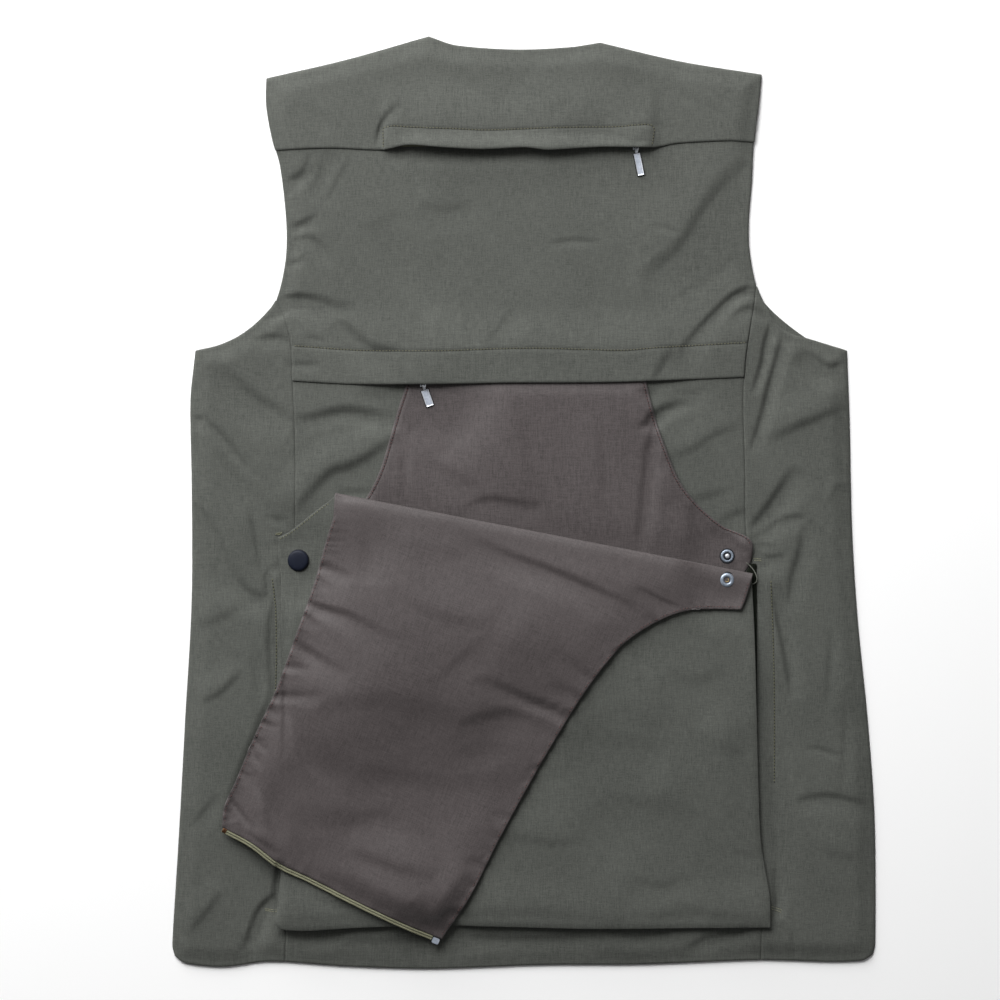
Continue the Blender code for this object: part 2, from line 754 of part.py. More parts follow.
def rod(radius, length, sides):
    """A round bar along X about the origin."""
    bm = bmesh.new()
    bmesh.ops.create_cone(
        bm, cap_ends=True, segments=sides, radius1=radius, radius2=radius, depth=length,
        matrix=Matrix.Rotation(math.pi / 2, 4, "Y"),
    )
    return bm


def combine(base, other, operation):
    """Joins a helper to a piece, or cuts it out, with a Boolean."""
    other.hide_render = True
    other.display_type = "WIRE"
    boolean = base.modifiers.new(other.name, "BOOLEAN")
    boolean.operation = operation
    boolean.solver = "EXACT"
    boolean.object = other


def helper(name, bm, shift, origin, look):
    """A helper mesh moved by a shift from the origin that its piece has."""
    bmesh.ops.translate(bm, verts=bm.verts, vec=Vector(shift) + Vector(origin))
    return finish(name, bm, look, origin)


def add_slider(name, centre, pivot, cloth_top, look):
    """A slider with two ears that hold the pin of its pull tab."""
    origin = (pivot.x, pivot.y, cloth_top + EYE_LIFT)
    body_shift = (0, centre.y - pivot.y, SLIDER_FLOOR + SLIDER_SIZE[2] / 2 - origin[2])
    body = helper(name, block(SLIDER_SIZE, SLIDER_CORNER), body_shift, origin, look)
    ear_width, ear_height = EAR
    ear_length = centre.y - SLIDER_SIZE[1] / 2 - pivot.y + 2 * EAR_OVERLAP
    for side in (-1, 1):
        shift = (side * (EYE_LENGTH / 2 + GAP + ear_width / 2), ear_length / 2 - EAR_OVERLAP, 0)
        ear = block((ear_width, ear_length, ear_height))
        combine(body, helper(f"{name} ear {side}", ear, shift, origin, look), "UNION")
    pin = rod(PIN_RADIUS, EYE_LENGTH + 2 * GAP + ear_width, 10)
    combine(body, helper(f"{name} pin", pin, (0, 0, 0), origin, look), "UNION")


def add_pull(name, pivot, tip, width, cloth_top, look):
    """A pull tab that hangs from the pin by its eye: a plate with a sunk face, and a neck."""
    origin = Vector((pivot.x, pivot.y, cloth_top + EYE_LIFT))
    reach = Vector(tip) - Vector(pivot)
    turn = Matrix.Rotation(math.atan2(reach.x, -reach.y), 4, "Z")
    plate_level = cloth_top + PULL_LIFT + PULL_THICKNESS / 2 - origin.z
    plate_length = reach.length - NECK_LENGTH
    plate = block((width, plate_length, PULL_THICKNESS), PULL_CORNER, 3)
    face = max(plate.faces, key=lambda face: face.calc_center_median().z)
    bmesh.ops.inset_region(plate, faces=[face], thickness=PULL_RIM)
    bmesh.ops.translate(plate, verts=face.verts, vec=(0, 0, -PULL_SINK))
    bmesh.ops.translate(plate, verts=plate.verts, vec=(0, -NECK_LENGTH - plate_length / 2, 0))
    plate.transform(turn)
    body = helper(name, plate, (0, 0, plate_level), origin, look)
    neck = block((NECK_WIDTH, NECK_LENGTH, NECK_THICKNESS))
    bmesh.ops.translate(neck, verts=neck.verts, vec=(0, -NECK_LENGTH / 2 - NECK_OVERLAP, 0))
    neck.transform(turn)
    combine(body, helper(f"{name} neck", neck, (0, 0, plate_level), origin, look), "UNION")
    combine(body, helper(f"{name} eye", rod(EYE_RADIUS, EYE_LENGTH, 14), (0, 0, 0), origin, look), "UNION")
    hole = rod(EYE_RADIUS - EYE_WALL, EYE_LENGTH + 2, 14)
    combine(body, helper(f"{name} hole", hole, (0, 0, 0), origin, look), "DIFFERENCE")


def add_zip_metal(metal):
    back_top = BODY_LEVEL + CLOTH
    lining_top = LINING_LEVEL + CLOTH
    add_slider("yoke_zip_slider", YOKE_SLIDER, YOKE_PIVOT, back_top, metal)
    add_pull("yoke_zip_pull", YOKE_PIVOT, YOKE_TIP, YOKE_PULL_WIDTH, back_top, metal)
    add_slider("bag_zip_slider", BAG_SLIDER, BAG_PIVOT, lining_top, metal)
    add_pull("bag_zip_pull", BAG_PIVOT, BAG_TIP, BAG_PULL_WIDTH, lining_top, metal)
    box = block(ZIP_BOX_SIZE, ZIP_BOX_CORNER)
    box.transform(Matrix.Rotation(ZIP_BOX_TURN, 4, "Z"))
    level = flap_height(ZIP_BOX.x, ZIP_BOX.y) + FLAP_ZIP_LIFT + ZIP_BOX_SIZE[2] / 2
    bmesh.ops.translate(box, verts=box.verts, vec=(ZIP_BOX.x, ZIP_BOX.y, level))
    finish("flap_zip_box", box, metal)


# Snaps
def turned(name, profile, centre, level, look):
    """A round piece: its profile spun about an upright axis."""
    bm = bmesh.new()
    verts = [bm.verts.new((ring.radius, 0, ring.height)) for ring in profile]
    edges = [bm.edges.new(pair) for pair in zip(verts, verts[1:])]
    bmesh.ops.spin(
        bm, geom=verts + edges, cent=(0, 0, 0), axis=(0, 0, 1), angle=2 * math.pi,
        steps=SNAP_SIDES, use_merge=True,
    )
    bmesh.ops.remove_doubles(bm, verts=bm.verts, dist=0.001)
    bmesh.ops.translate(bm, verts=bm.verts, vec=(centre.x, centre.y, level))
    made = finish(name, bm, look)
    made.data.shade_smooth()
    made.data.set_sharp_from_angle(angle=math.radians(35))


def add_snaps(metal, navy):
    bag_top = BAG_LEVEL + 2 * LAYER
    turned("snap_cap_left", CAP_PROFILE, CAP, bag_top + bag_folds(CAP.x, CAP.y), navy)
    stud_level = BAG_LEVEL + body_folds(STUD.x, STUD.y)
    turned("snap_stud_right", STUD_PROFILE, STUD, stud_level, metal)
    socket_level = flap_height(SOCKET.x, SOCKET.y) + 2 * LAYER
    turned("snap_socket_right", SOCKET_PROFILE, SOCKET, socket_level, metal)


def build():
    for old in list(bpy.data.objects):
        bpy.data.objects.remove(old, do_unlink=True)
    green = material("green cotton", GREEN, 0.85)
    brown = material("brown lining", BROWN, 0.6)
    olive = material("olive zip tape", OLIVE, 0.75)
    metal = material("silver metal", METAL, 0.35, 1.0)
    navy = material("navy enamel", NAVY, 0.3)
    add_body(green)
    add_fronts(green, olive, metal)
    add_bag_back(green, brown)
    add_bag_front("bag_front", BagFold.inner_radius, green)
    add_bag_front("bag_front_lining", BagFold.outer_radius, brown)
    add_tapes(olive)
    add_zip_metal(metal)
    add_snaps(metal, navy)


build()
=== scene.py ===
# %% [markdown]
# # A shooting vest, laid flat with its back up
# The vest is cotton twill with a zipped pocket in the yoke and a large game bag on the
# back. The bag is unzipped: its front panel is turned down, so its brown lining shows.
# Flat clothes are all about layers, so each cloth piece here is a thin sheet on the height
# of its layer, and every sheet above follows the folds of the ones below it.
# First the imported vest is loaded. It is the frame in which everything is placed.

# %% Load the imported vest
import math

import bmesh
import bpy
import numpy as np
from mathutils import Matrix, Vector


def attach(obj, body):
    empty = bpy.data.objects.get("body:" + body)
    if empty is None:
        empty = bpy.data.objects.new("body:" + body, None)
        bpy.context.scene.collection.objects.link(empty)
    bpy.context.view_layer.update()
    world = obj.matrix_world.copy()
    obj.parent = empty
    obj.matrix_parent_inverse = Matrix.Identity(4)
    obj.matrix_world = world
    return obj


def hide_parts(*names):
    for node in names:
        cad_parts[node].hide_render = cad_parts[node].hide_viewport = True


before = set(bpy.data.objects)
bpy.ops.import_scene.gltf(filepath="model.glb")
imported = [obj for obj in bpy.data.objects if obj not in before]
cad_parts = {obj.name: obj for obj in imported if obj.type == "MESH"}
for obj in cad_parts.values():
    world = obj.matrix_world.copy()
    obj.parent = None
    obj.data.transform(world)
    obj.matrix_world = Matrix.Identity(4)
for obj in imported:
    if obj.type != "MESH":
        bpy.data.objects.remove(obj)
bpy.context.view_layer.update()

MM = 0.001
CENTRE = np.array([1.109375, -0.75])

# %% [markdown]
# ## Measures
# All places are in millimetres on the table: X across the back, Y from the hem to the neck.
# These are the measures of the CAD: cloth walls a millimetre thick, 0.3 mm apart. The sheets
# here are a little thinner, so that small creases have room between the layers.

# %% The layers
CLOTH = 0.8
REST = 0.1
LAYER = 1.3
BODY = LAYER
LINING = 2 * LAYER
BAG = 3 * LAYER

# %% [markdown]
# ## Smooth edges
# A pattern cutter draws an edge through a few marks with a curved rule. `curve` does the
# same: it runs a smooth line through the marks. Straight polylines would show corners, and a
# Bezier object would need handles for every mark.

# %% Lines through marks


def curve(marks, spacing=4.0):
    """Points along a smooth line through the marks, about the spacing apart."""
    path = np.array(marks, float)
    ends = np.vstack([2 * path[0] - path[1], path, 2 * path[-1] - path[-2]])
    line = [path[:1]]
    for before, start, end, after in zip(ends, ends[1:], ends[2:], ends[3:]):
        length = np.linalg.norm(end - start)
        pull_in = (end - before) / 2 * min(1, length / np.linalg.norm(start - before))
        pull_out = (after - start) / 2 * min(1, length / np.linalg.norm(after - end))
        t = np.linspace(0, 1, max(1, math.ceil(length / spacing)) + 1)[1:, None]
        line.append(
            (2 * t**3 - 3 * t**2 + 1) * start
            + (t**3 - 2 * t**2 + t) * pull_in
            + (3 * t**2 - 2 * t**3) * end
            + (t**3 - t**2) * pull_out
        )
    return np.vstack(line)


def between(path, axis, low, high):
    """The stretch between two values of x (axis 0) or y (1), of a line that always rises or falls in it."""
    rising = path if path[0, axis] < path[-1, axis] else path[::-1]
    keys, other = rising[:, axis], rising[:, 1 - axis]
    low, high = max(low, keys[0]), min(high, keys[-1])
    kept = np.concatenate([[low], keys[(keys > low) & (keys < high)], [high]])
    pair = (kept, np.interp(kept, keys, other))
    stretch = np.stack(pair if axis == 0 else pair[::-1], -1)
    return stretch if rising is path else stretch[::-1]


def arc(path):
    """How far along a line each of its points is."""
    return np.concatenate([[0], np.cumsum(np.linalg.norm(np.diff(path, axis=0), axis=1))])


SIDE_LEFT = curve(
    [
        (-277.5, -363), (-279.5, -355), (-274, -263), (-269, -171), (-264, -79), (-264, 17), (-265, 81),
        (-261, 120.5),
    ]
)
SIDE_RIGHT = curve(
    [
        (279.5, -362), (281.5, -355), (281, -255), (275.5, -175), (267.5, -95), (263, -23), (261, 65),
        (259, 120.5),
    ]
)
HEM = curve(
    [
        (-277.5, -363), (-270, -368.5), (-240, -371.5), (-208, -367.5), (-190, -367.5), (-142, -371),
        (-74, -373), (14, -370), (94, -369.5), (191, -366), (246, -367.5), (272, -366.5), (279.5, -362),
    ]
)
ARMHOLE_LEFT = curve(
    [
        (-261, 120.5), (-243.5, 124.5), (-226, 132.5), (-210, 145), (-197, 161), (-189.5, 193),
        (-189, 225), (-194, 269), (-200, 291), (-204.5, 317), (-204.5, 338),
    ]
)
ARMHOLE_RIGHT = curve(
    [
        (259, 120.5), (231.5, 129), (209, 136.5), (195, 155), (187, 172.5), (181.5, 201), (181, 225),
        (183.5, 257), (185, 288), (188.5, 317), (191, 341),
    ]
)
SHOULDER_LEFT = curve([(-204.5, 338), (-142, 352.5), (-75, 371.5)])
SHOULDER_RIGHT = curve([(62, 366.5), (126, 351.5), (191, 341)])
NECK = curve([(-75, 371.5), (-54, 364.5), (-6, 361), (39.5, 363), (62, 366.5)])
SEAM_LEFT = curve(
    [
        (-190, -367.5), (-189.4, -339), (-185, -119), (-182, -7), (-182, 45), (-184, 96.5), (-185, 125),
        (-187.5, 137), (-191, 147.5), (-197, 161),
    ]
)
SEAM_RIGHT = curve(
    [
        (191, -366), (191, -339), (187.5, -207), (188, -135), (187.5, -71), (179, -25), (178, 25),
        (176.5, 79.5), (178, 112.5), (182, 139.5), (185, 155.5), (187, 172.5),
    ]
)
YOKE_EDGE = curve(
    [
        (-197, 281), (-153, 282.5), (-111, 281), (-92, 284.5), (-71, 283), (-33, 281), (2, 282.5),
        (20, 280.5), (62, 283), (104, 283), (123, 286.5), (164, 288.5), (185, 287.5),
    ]
)
BAND_EDGE = curve([(-184, 96.5), (-137, 94), (-71, 94), (-14, 95), (71.5, 95.5), (140, 98), (177, 99.5)])
YOKE_SEAM_TOP = 292.0
BAND_SEAM_TOP = 112.0
print("hem", round(arc(HEM)[-1]), "mm, side", round(arc(SIDE_LEFT)[-1]), "mm")

# %% [markdown]
# ## The game bag's edges
# The bag's front is one panel with a slanting upper part that folds down. Its lining is cut
# alike. `Fold` keeps what both layers share: the fold's line and the radius at which each
# layer turns round it, one inside the other like the layers of a belt.

# %% The bag's lines and its fold
LINING_LEFT = curve(
    [
        (-175.5, -325), (-175.5, -60), (-172, -40), (-150, -24), (-126, 1), (-114, 24), (-107.5, 45),
        (-100.5, 70), (-93, 94), (-93, 108),
    ]
)
LINING_RIGHT = curve(
    [
        (171.7, -325), (171.7, -70), (176, -59), (182.3, -48), (182.6, -31), (161, -20.5), (150, -12),
        (136.5, 1), (125, 16.5), (115.5, 39), (106.5, 65), (99, 94), (99, 108),
    ]
)
BAG_BOTTOM = curve(
    [
        (-196.3, -334.5), (-194, -340), (-187, -341.6), (-172.5, -342), (-115.5, -339), (-53, -338),
        (54, -340.5), (142, -340), (197.5, -339.5),
    ]
)
BAG_RIGHT = curve([(197.5, -339.5), (197, -315), (190, -271.5), (187.5, -207), (185, -111), (183, -64)])
BAG_LEFT = curve(
    [
        (-196.3, -334.5), (-194.6, -318), (-192.6, -300), (-191.6, -279), (-191.5, -159), (-192.4, -79),
        (-192.8, -59), (-194.6, -47), (-194.8, -28.6),
    ]
)
BAG_CORNER_EDGE = curve([(-194.8, -28.6), (-186.8, -24.8), (-178, -18.2), (-162, -5.4), (-155.5, -0.8)])
FLAP_LEFT = curve(
    [
        (-150.5, -12.5), (-156.5, -31), (-166, -64.5), (-181, -107.5), (-197, -151), (-214.5, -189),
        (-230, -226), (-238, -243.5), (-239.5, -259.5),
    ]
)
ZIP_EDGE = curve(
    [
        (-239.5, -259.5), (-214, -273), (-193, -288.5), (-171.5, -298.5), (-128.5, -320), (-86, -340),
        (-64.5, -349),
    ]
)
FLAP_RIGHT = curve(
    [
        (-64.5, -349), (-41, -313), (-16.5, -265), (19, -201), (51.5, -148.5), (77, -116.5), (94, -103),
        (118, -90.5), (135, -86), (153, -85.5), (174.4, -86),
    ]
)
FLAP_CORNER = curve([(174.4, -86), (177.5, -79), (180, -71), (182.6, -62.5)])


class Fold:
    """The slanting line over which the bag's front turns."""

    first, last = np.array([-149.0, 7.0]), np.array([183.6, -57.2])
    along = (last - first) / np.linalg.norm(last - first)
    out = np.array([-along[1], along[0]])
    reach = 2.45
    start, end = first - reach * out, last - reach * out
    middle = BAG + reach
    green_ring, brown_ring = 0.65, 1.95
    steps = 8


GUSSET_RIGHT_INNER = curve([(172, -338), (172, -100), (172.2, -70), (178, -59), (183.1, -50)])
GUSSET_RIGHT_OUTER = curve([(186, -338), (186.6, -207), (186.6, -71), (186.6, -50)])
GUSSET_LEFT_X = (-189.0, -175.8)
GUSSET_TOP_LEFT = -62.0
GUSSET_BOTTOM_Y = (-338.0, -325.3)
print("fold", round(float(np.linalg.norm(Fold.end - Fold.start))), "mm long")

# %% [markdown]
# ## Folds and creases
# Cloth that has been worn or packed lies in long soft ridges, uneven in length, depth and
# spacing. They could come from a cloth simulation, but the ones in the photograph have their
# places, so they are laid one by one. A row holds a fold's half width at its start and at its
# end, its height, and the marks that it runs through. A minus height is a trough. The marks
# follow the fold's shaded slope, the one that turns away from the light, because that is
# what the eye sees of a fold. A crease fades towards both its ends. A pleat starts at an
# edge or a seam, where the cloth is gathered, and fades into the cloth.

# %% Creases and pleats of the green back
BODY_CREASES = [
    # left of the lining, under the band
    (7, 6, -1.9, -186, 66, -166, 69, -150, 73, -136, 74, -120, 71, -92, 70),
    (9, 8, 2.0, -184, -12, -168, 10, -152, 25, -136, 30, -120, 39, -96, 56),
    (3, 3, -0.4, -132, 89, -118, 85, -100, 87), (3, 3, -0.7, -150, 8, -132, 9, -118, 8),
    (9, 9, 0.5, -180, 48, -150, 56, -112, 60),
    # left side
    (3, 4, -1.1, -256, 71, -240, 55, -228, 40, -212, 19),
    (5, 5, -1.3, -244, 38, -228, 8, -219, -10, -214, -32, -208, -62),
    (6, 8, -2.1, -264, 0, -250, -12, -240, -35, -229, -60, -214, -74, -194, -77),
    (11, 10, -1.7, -246, 116, -228, 98, -212, 84, -198, 76, -180, 64),
    (7, 7, -0.6, -220, 22, -208, 4, -196, -10),
    (3, 3, -0.6, -208, -8, -188, -15), (3, 3, -0.6, -210, -31, -192, -34),
    (4, 4, -1.0, -216, 130, -198, 133, -186, 130),
    (2.0, 2.4, -2.8, -188, -50, -201, -51.5, -206, -60, -203, -80),
    (7, 6, -1.7, -201, -62, -203, -110, -202, -176), (2.6, 2.6, -1.6, -192.5, -60, -192, -120, -191, -205),
    (6, 6, -0.6, -217, -120, -214, -150, -210, -172),
    (6, 6, 0.9, -256, -160, -240, -151, -224, -134),
    (8, 9, -1.5, -200, -136, -212, -180, -224, -210, -234, -238, -240, -270),
    (5, 5, -0.6, -268, -262, -256, -248, -244, -232), (6, 6, 0.8, -268, -346, -250, -324, -238, -308),
    (9, 9, 0.7, -262, -100, -240, -92, -222, -80),
    # left of the bag's lower corner
    (4.5, 6, -2.4, -199, -312, -211, -325, -217, -338, -224, -360),
    (3, 3, -2.2, -196, -286, -199, -310, -199, -334),
    (2.6, 2.6, 1.0, -204, -326, -213, -340, -218, -352), (3, 3, -0.9, -221, -346, -219, -372),
    # right of the lining
    (6, 7, 0.7, 112, 34, 136, 42, 150, 52, 178, 64), (8, 8, -0.8, 132, 2, 148, 5, 166, 10),
    (6, 6, -0.8, 156, -14, 166, -10, 180, -5),
    (5, 5, -0.5, 118, 90, 136, 88, 150, 92),
    # right side
    (6, 8, -1.7, 178, -22, 188, -12, 198, 1, 207, 14, 218, 30),
    (4, 6, -1.1, 180, -30, 195, -20, 208, -12, 228, -12),
    (5, 6, -1.3, 222, -14, 220, -40, 214, -60, 210, -88),
    (4, 5, -1.8, 198, -66, 203, -95, 209, -125, 214, -158),
    (3.5, 3, -1.4, 201, 152, 193, 130, 190, 112, 182, 86),
    (4, 4, -1.5, 210, 144, 203, 120, 196, 95, 190, 70, 180, 38),
    (7, 7, -2.0, 222, 124, 236, 114, 246, 108, 264, 112), (9, 8, 1.3, 194, 48, 218, 60, 235, 67, 260, 77),
    (2.5, 2.5, 0.4, 244, -3, 252, 14, 264, 2), (2.5, 2.5, -0.4, 246, -30, 258, -54),
    (3, 3, -0.5, 245, -100, 242, -164),
    (4, 4, -0.5, 258, -146, 253, -236), (2.4, 2.4, -0.5, 228, -195, 240, -197, 256, -203),
    (6, 6, -1.0, 214, -238, 240, -234, 258, -236, 284, -244), (3, 3, 0.5, 259, -140, 276, -174),
    (8, 10, -0.9, 192, -140, 196, -230, 203, -318), (4, 4, -1.6, 198, -292, 201, -314, 200, -334),
    (2.4, 2.4, -0.5, 213, -342, 217, -370), (10, 10, 0.6, 232, -270, 250, -282, 270, -284),
    # along the hem, under the bag
    (6, 6, -1.5, -90, -345, 0, -347, 80, -345), (4, 6, -1.7, 130, -356, 150, -346, 182, -340),
    (5, 5, -1.5, -196, -344, -172, -346, -140, -343), (5, 5, -1.2, 64, -343, 90, -345, 122, -342),
    (6, 6, -0.8, -150, -348, -110, -350, -70, -347),
    # back panel, left
    (5, 5, -0.8, -190, 211, -170, 212, -160, 206, -150, 190),
    (9, 8, -1.7, -150, 154, -130, 132, -118, 124, -96, 121),
    (2.5, 2.5, -0.9, -132, 124.5, -116, 123.5, -100, 122), (4, 4, -0.5, -176, 133, -152, 130),
    (13, 13, -1.3, -126, 220, -106, 184, -92, 166, -74, 140), (7, 7, -0.7, -112, 286, -92, 262, -82, 240),
    (9, 9, -0.6, -84, 238, -58, 234, -36, 241), (9, 9, -0.3, -71, 226, -66, 106),
    (4, 4, -0.5, -50, 152, -38, 120),
    (6, 6, -0.5, -30, 126, -6, 156), (3, 3, 0.5, -156, 240, -148, 258, -138, 276),
    (9, 9, -0.7, -176, 244, -164, 262, -158, 282),
    (3, 3, -0.5, -190, 111, -160, 111),
    # back panel, right
    (2.4, 2.4, -0.5, 20, 207, 44, 210, 64, 207.5), (2.2, 2.2, -0.35, 100, 222, 114, 220, 128, 215),
    (22, 17, -2.9, 88, 176, 118, 194, 133, 210, 145, 232, 158, 254, 176, 274),
    (6, 6, 0.7, 150, 180, 168, 196, 184, 208),
    (5, 5, 0.6, 118, 160, 140, 176, 160, 186), (9, 9, -0.5, 84, 172, 76, 204, 60, 222),
    (7, 7, -0.9, 100, 92, 112, 112, 120, 126),
    # yoke
    (3, 3, -1.2, -118, 284, -114, 302, -101, 318), (3, 3, -0.7, 76, 301, 98, 302.5, 116, 300),
    (12, 12, 0.5, -60, 350, -20, 318),
    (12, 12, 0.5, 20, 352, 40, 322), (10, 10, 0.5, 120, 334, 156, 312), (9, 9, -0.5, -180, 322, -150, 300),
]
BODY_PLEATS = [
    (3, 4, -1.2, -268, 65, -258, 68, -248, 67), (5, 6, -0.9, -268, -7, -254, -10, -244, -16),
    (4, 5, -2.0, -192, 255, -180, 261, -166, 272), (2.4, 2.6, -1.0, -178, 258, -170, 280),
    (3, 4.5, -1.9, -191, 221, -180, 222, -162, 231), (2.4, 2.6, -0.8, -190, 205, -174, 203.5),
    (2.4, 2.6, -0.8, -190, 192, -179, 193, -173, 201),
    (5, 11, -2.9, -199, 160, -182, 165, -165, 163, -148, 157, -130, 156),
    (2, 4, -0.7, -192, 158, -182, 146, -168, 140),
    (5, 3, -2.2, 101, 68, 112, 75, 124, 79, 142, 82), (5, 5, -0.9, 102, 90, 112, 88),
    (4, 6, -2.3, 181, -39, 194, -43, 212, -43), (3, 5, -1.2, 182, -34, 194, -33, 204, -37),
    (5, 13, -3.6, 186, 190, 174, 206, 166, 216, 150, 224), (2.4, 3, -0.8, 184, 247, 172, 246, 156, 242),
    (2.4, 3.5, -0.9, 185, 188, 174, 184, 164, 182),
    (2.6, 9, -2.4, 190, 172, 176, 171, 164, 165, 150, 151, 138, 137, 127, 121, 118, 96),
    (3, 5, -1.1, 194, 151, 180, 156, 168, 150, 156, 142), (2.4, 4, -0.7, 184, 226, 174, 231, 164, 232),
]

# %% Creases and pleats of the bag
LINING_CREASES = [
    (4, 5, -1.9, 106, 70, 98, 40, 96, 15, 92, -20, 89, -50), (5, 5, -1.7, 130, -4, 140, -30, 152, -52),
    (7, 7, -1.3, -54, -10, -36, 2, -20, 2, 16, -3), (4, 4, -0.6, -99, 40, -94, 4),
    (3, 3, -0.5, -84, 76, -94, 50),
    (2.2, 2.2, -1.3, 167, -29, 176, -38, 183, -45), (3, 3, -1.1, 168, -42, 182, -56),
    (9, 9, 0.7, 60, 70, 64, -6),
    (12, 12, -1.0, -84, 36, -50, 20, -28, 6), (12, 12, 0.8, -10, 84, 14, -4), (8, 8, 0.6, 116, 30, 128, 4),
    (10, 10, 0.6, -70, 78, -60, 40),
]
CORNER_CREASES = [
    (2.4, 2.6, -3.2, 166, -25, 172, -32, 181, -41), (2.2, 2.2, -2.4, 171, -45, 176, -50, 183, -51),
]
BAG_CREASES = [
    (20, 22, -0.8, 40, -176, 74, -190, 118, -196), (24, 22, -0.9, 64, -222, 94, -236, 146, -254),
    (15, 14, -0.9, 110, -134, 140, -142, 168, -130),
    (11, 9, -1.0, 84, -297, 112, -305, 134, -294), (10, 10, -0.9, 108, -312, 148, -328),
    (7, 7, -1.5, -190, -36, -176, -31, -165, -39, -160, -58),
    (9, 9, 0.8, -210, -334, -130, -331, -60, -334), (9, 11, 0.8, -90, -331, 0, -327, 60, -332, 110, -331),
    (10, 9, 0.9, 70, -331, 140, -329, 212, -334), (3, 3, -0.6, 168, -278, 180, -281, 192, -282),
    (6, 6, -0.8, -170, -312, -150, -318, -120, -326), (10, 10, 0.7, -20, -262, 20, -272, 50, -268),
    (6, 6, -0.8, -186, -66, -178, -88),
    (12, 12, 0.8, 140, -180, 160, -196, 176, -200),
]

# %% Creases and pleats of the part turned down
FLAP_CREASES = [
    (7, 8, -1.7, -50, -22, -12, -40, 20, -52, 52, -66, 96, -86),
    (12, 12, -1.0, -134, -2, -128, -30, -130, -66),
    (20, 24, -1.2, -190, -176, -146, -160, -110, -157, -70, -168, -30, -186),
    (12, 10, -1.4, -62, -180, -22, -168, 0, -168, 26, -182),
    (9, 9, -0.7, -72, -200, -34, -190, 0, -182), (26, 24, -1.2, -136, -206, -90, -216, -40, -222, 6, -216),
    (24, 24, -1.6, -192, -249, -166, -252, -130, -250, -90, -232),
    (9, 9, -1.0, -196, -156, -180, -190, -170, -212, -150, -228),
    (9, 9, -0.5, -72, -146, -45, -120, -20, -100),
    (6, 7, -1.3, -218, -216, -205, -245, -193, -282), (4, 4, 0.8, -222, -260, -208, -270, -192, -280),
    (6, 6, -1.2, -196, -284, -170, -298, -140, -310),
    (10, 9, 1.2, -140, -276, -104, -290, -70, -300), (5, 5, -0.8, -84, -314, -76, -324, -66, -330),
    (4, 4, -0.8, 90, -66, 112, -78, 128, -84),
    (5, 5, 0.7, 126, -62, 150, -70, 168, -76), (14, 14, 0.9, -100, -74, -60, -92, -20, -98),
]
FLAP_PLEATS = [
    # along the left edge
    (3, 6, -1.3, -158, -49, -148, -53, -134, -60),
    (3, 10, -2.0, -169, -78, -156, -83, -138, -89, -120, -99, -98, -112),
    (2.5, 4, -1.2, -174, -89, -160, -98), (3, 8, -1.7, -179, -110, -168, -118, -154, -127, -136, -138),
    (3, 4, -1.1, -185, -128, -164, -131),
    (3, 7, -1.5, -194, -151, -182, -152, -156, -153), (2, 3, -0.9, -201, -164, -190, -168),
    (2, 3, -0.9, -206, -174, -194, -180),
    (2, 3, -1.0, -213, -188, -201, -198), (2, 3, -1.2, -218, -198, -208, -218),
    (2, 3, -0.8, -224, -214, -214, -222),
    (2, 2.4, -1.7, -234, -234, -224, -247, -211, -262), (2, 3, -0.8, -236, -244, -226, -252),
    (2, 3, -0.6, -162, -62, -152, -66),
    # along the right edge
    (3, 6, -2.9, 40, -169, 22, -162, 4, -155, -14, -147, -42, -137),
    (4, 6, -1.2, 48, -155, 34, -148, 18, -144),
    (2.5, 5, -1.0, 60, -141, 44, -130, 26, -116), (2.4, 3, -1.1, 82, -112, 68, -121),
    (2, 2.4, -0.5, 62, -130, 60, -94),
    (2.2, 3, -0.9, 14, -209, 0, -214), (2.2, 4, -0.8, 6, -219, -10, -221),
    (2.2, 3.5, -1.0, -3, -237, -22, -240),
    (2.4, 4.5, -1.5, -9, -249, -22, -246, -42, -240), (2.4, 3.5, -1.3, -18, -267, -28, -260, -40, -254),
    (2, 3, -0.9, -25, -279, -36, -272),
    (2.4, 3.5, -1.7, -30, -289, -40, -284.5, -50, -286), (2, 3, -0.9, -39, -305, -48, -298),
    (2, 3, -0.8, -46, -315, -54, -307),
    (2.4, 3, -1.6, -50, -327, -58, -325, -68, -331), (2, 3, -0.8, -58, -338, -68, -340),
    (2.4, 3, -1.2, 133, -88, 134, -72),
    (2.4, 3.5, -0.8, 28, -186, 14, -180), (2.2, 3, -0.8, 22, -196, 10, -193),
    (2.2, 3, -0.7, 108, -97, 100, -88),
]
TABLES = (BODY_CREASES, BODY_PLEATS, LINING_CREASES, CORNER_CREASES, BAG_CREASES, FLAP_CREASES, FLAP_PLEATS)
print("creases and pleats", sum(map(len, TABLES)))

# %% [markdown]
# ## Reading the height of a fold
# All points of a sheet are read at once with numpy, because a Python loop over tens of
# thousands of points would take minutes. A ridge is half a cosine wave high round its line.

# %% Helpers for heights


def ramp(value, none, full):
    """0 at none, 1 at full and beyond, with a soft start and end."""
    t = np.clip((value - none) / (full - none), 0, 1)
    return t * t * (3 - 2 * t)


def nearest(places, path):
    """For each place: how far it is from a line, how far along that is, and on which side (1 is left)."""
    best = np.full(len(places), 1e9)
    along, side = np.zeros(len(places)), np.ones(len(places))
    lengths = arc(path)
    for start, end, low, high in zip(path, path[1:], lengths, lengths[1:]):
        step = end - start
        share = np.clip((places - start) @ step / max((high - low) ** 2, 1e-9), 0, 1)
        offset = places - start - share[:, None] * step
        away = np.linalg.norm(offset, axis=1)
        closer = away < best
        best[closer] = away[closer]
        along[closer] = (low + share * (high - low))[closer]
        side[closer] = np.sign(step[0] * offset[:, 1] - step[1] * offset[:, 0])[closer]
    return best, along, side


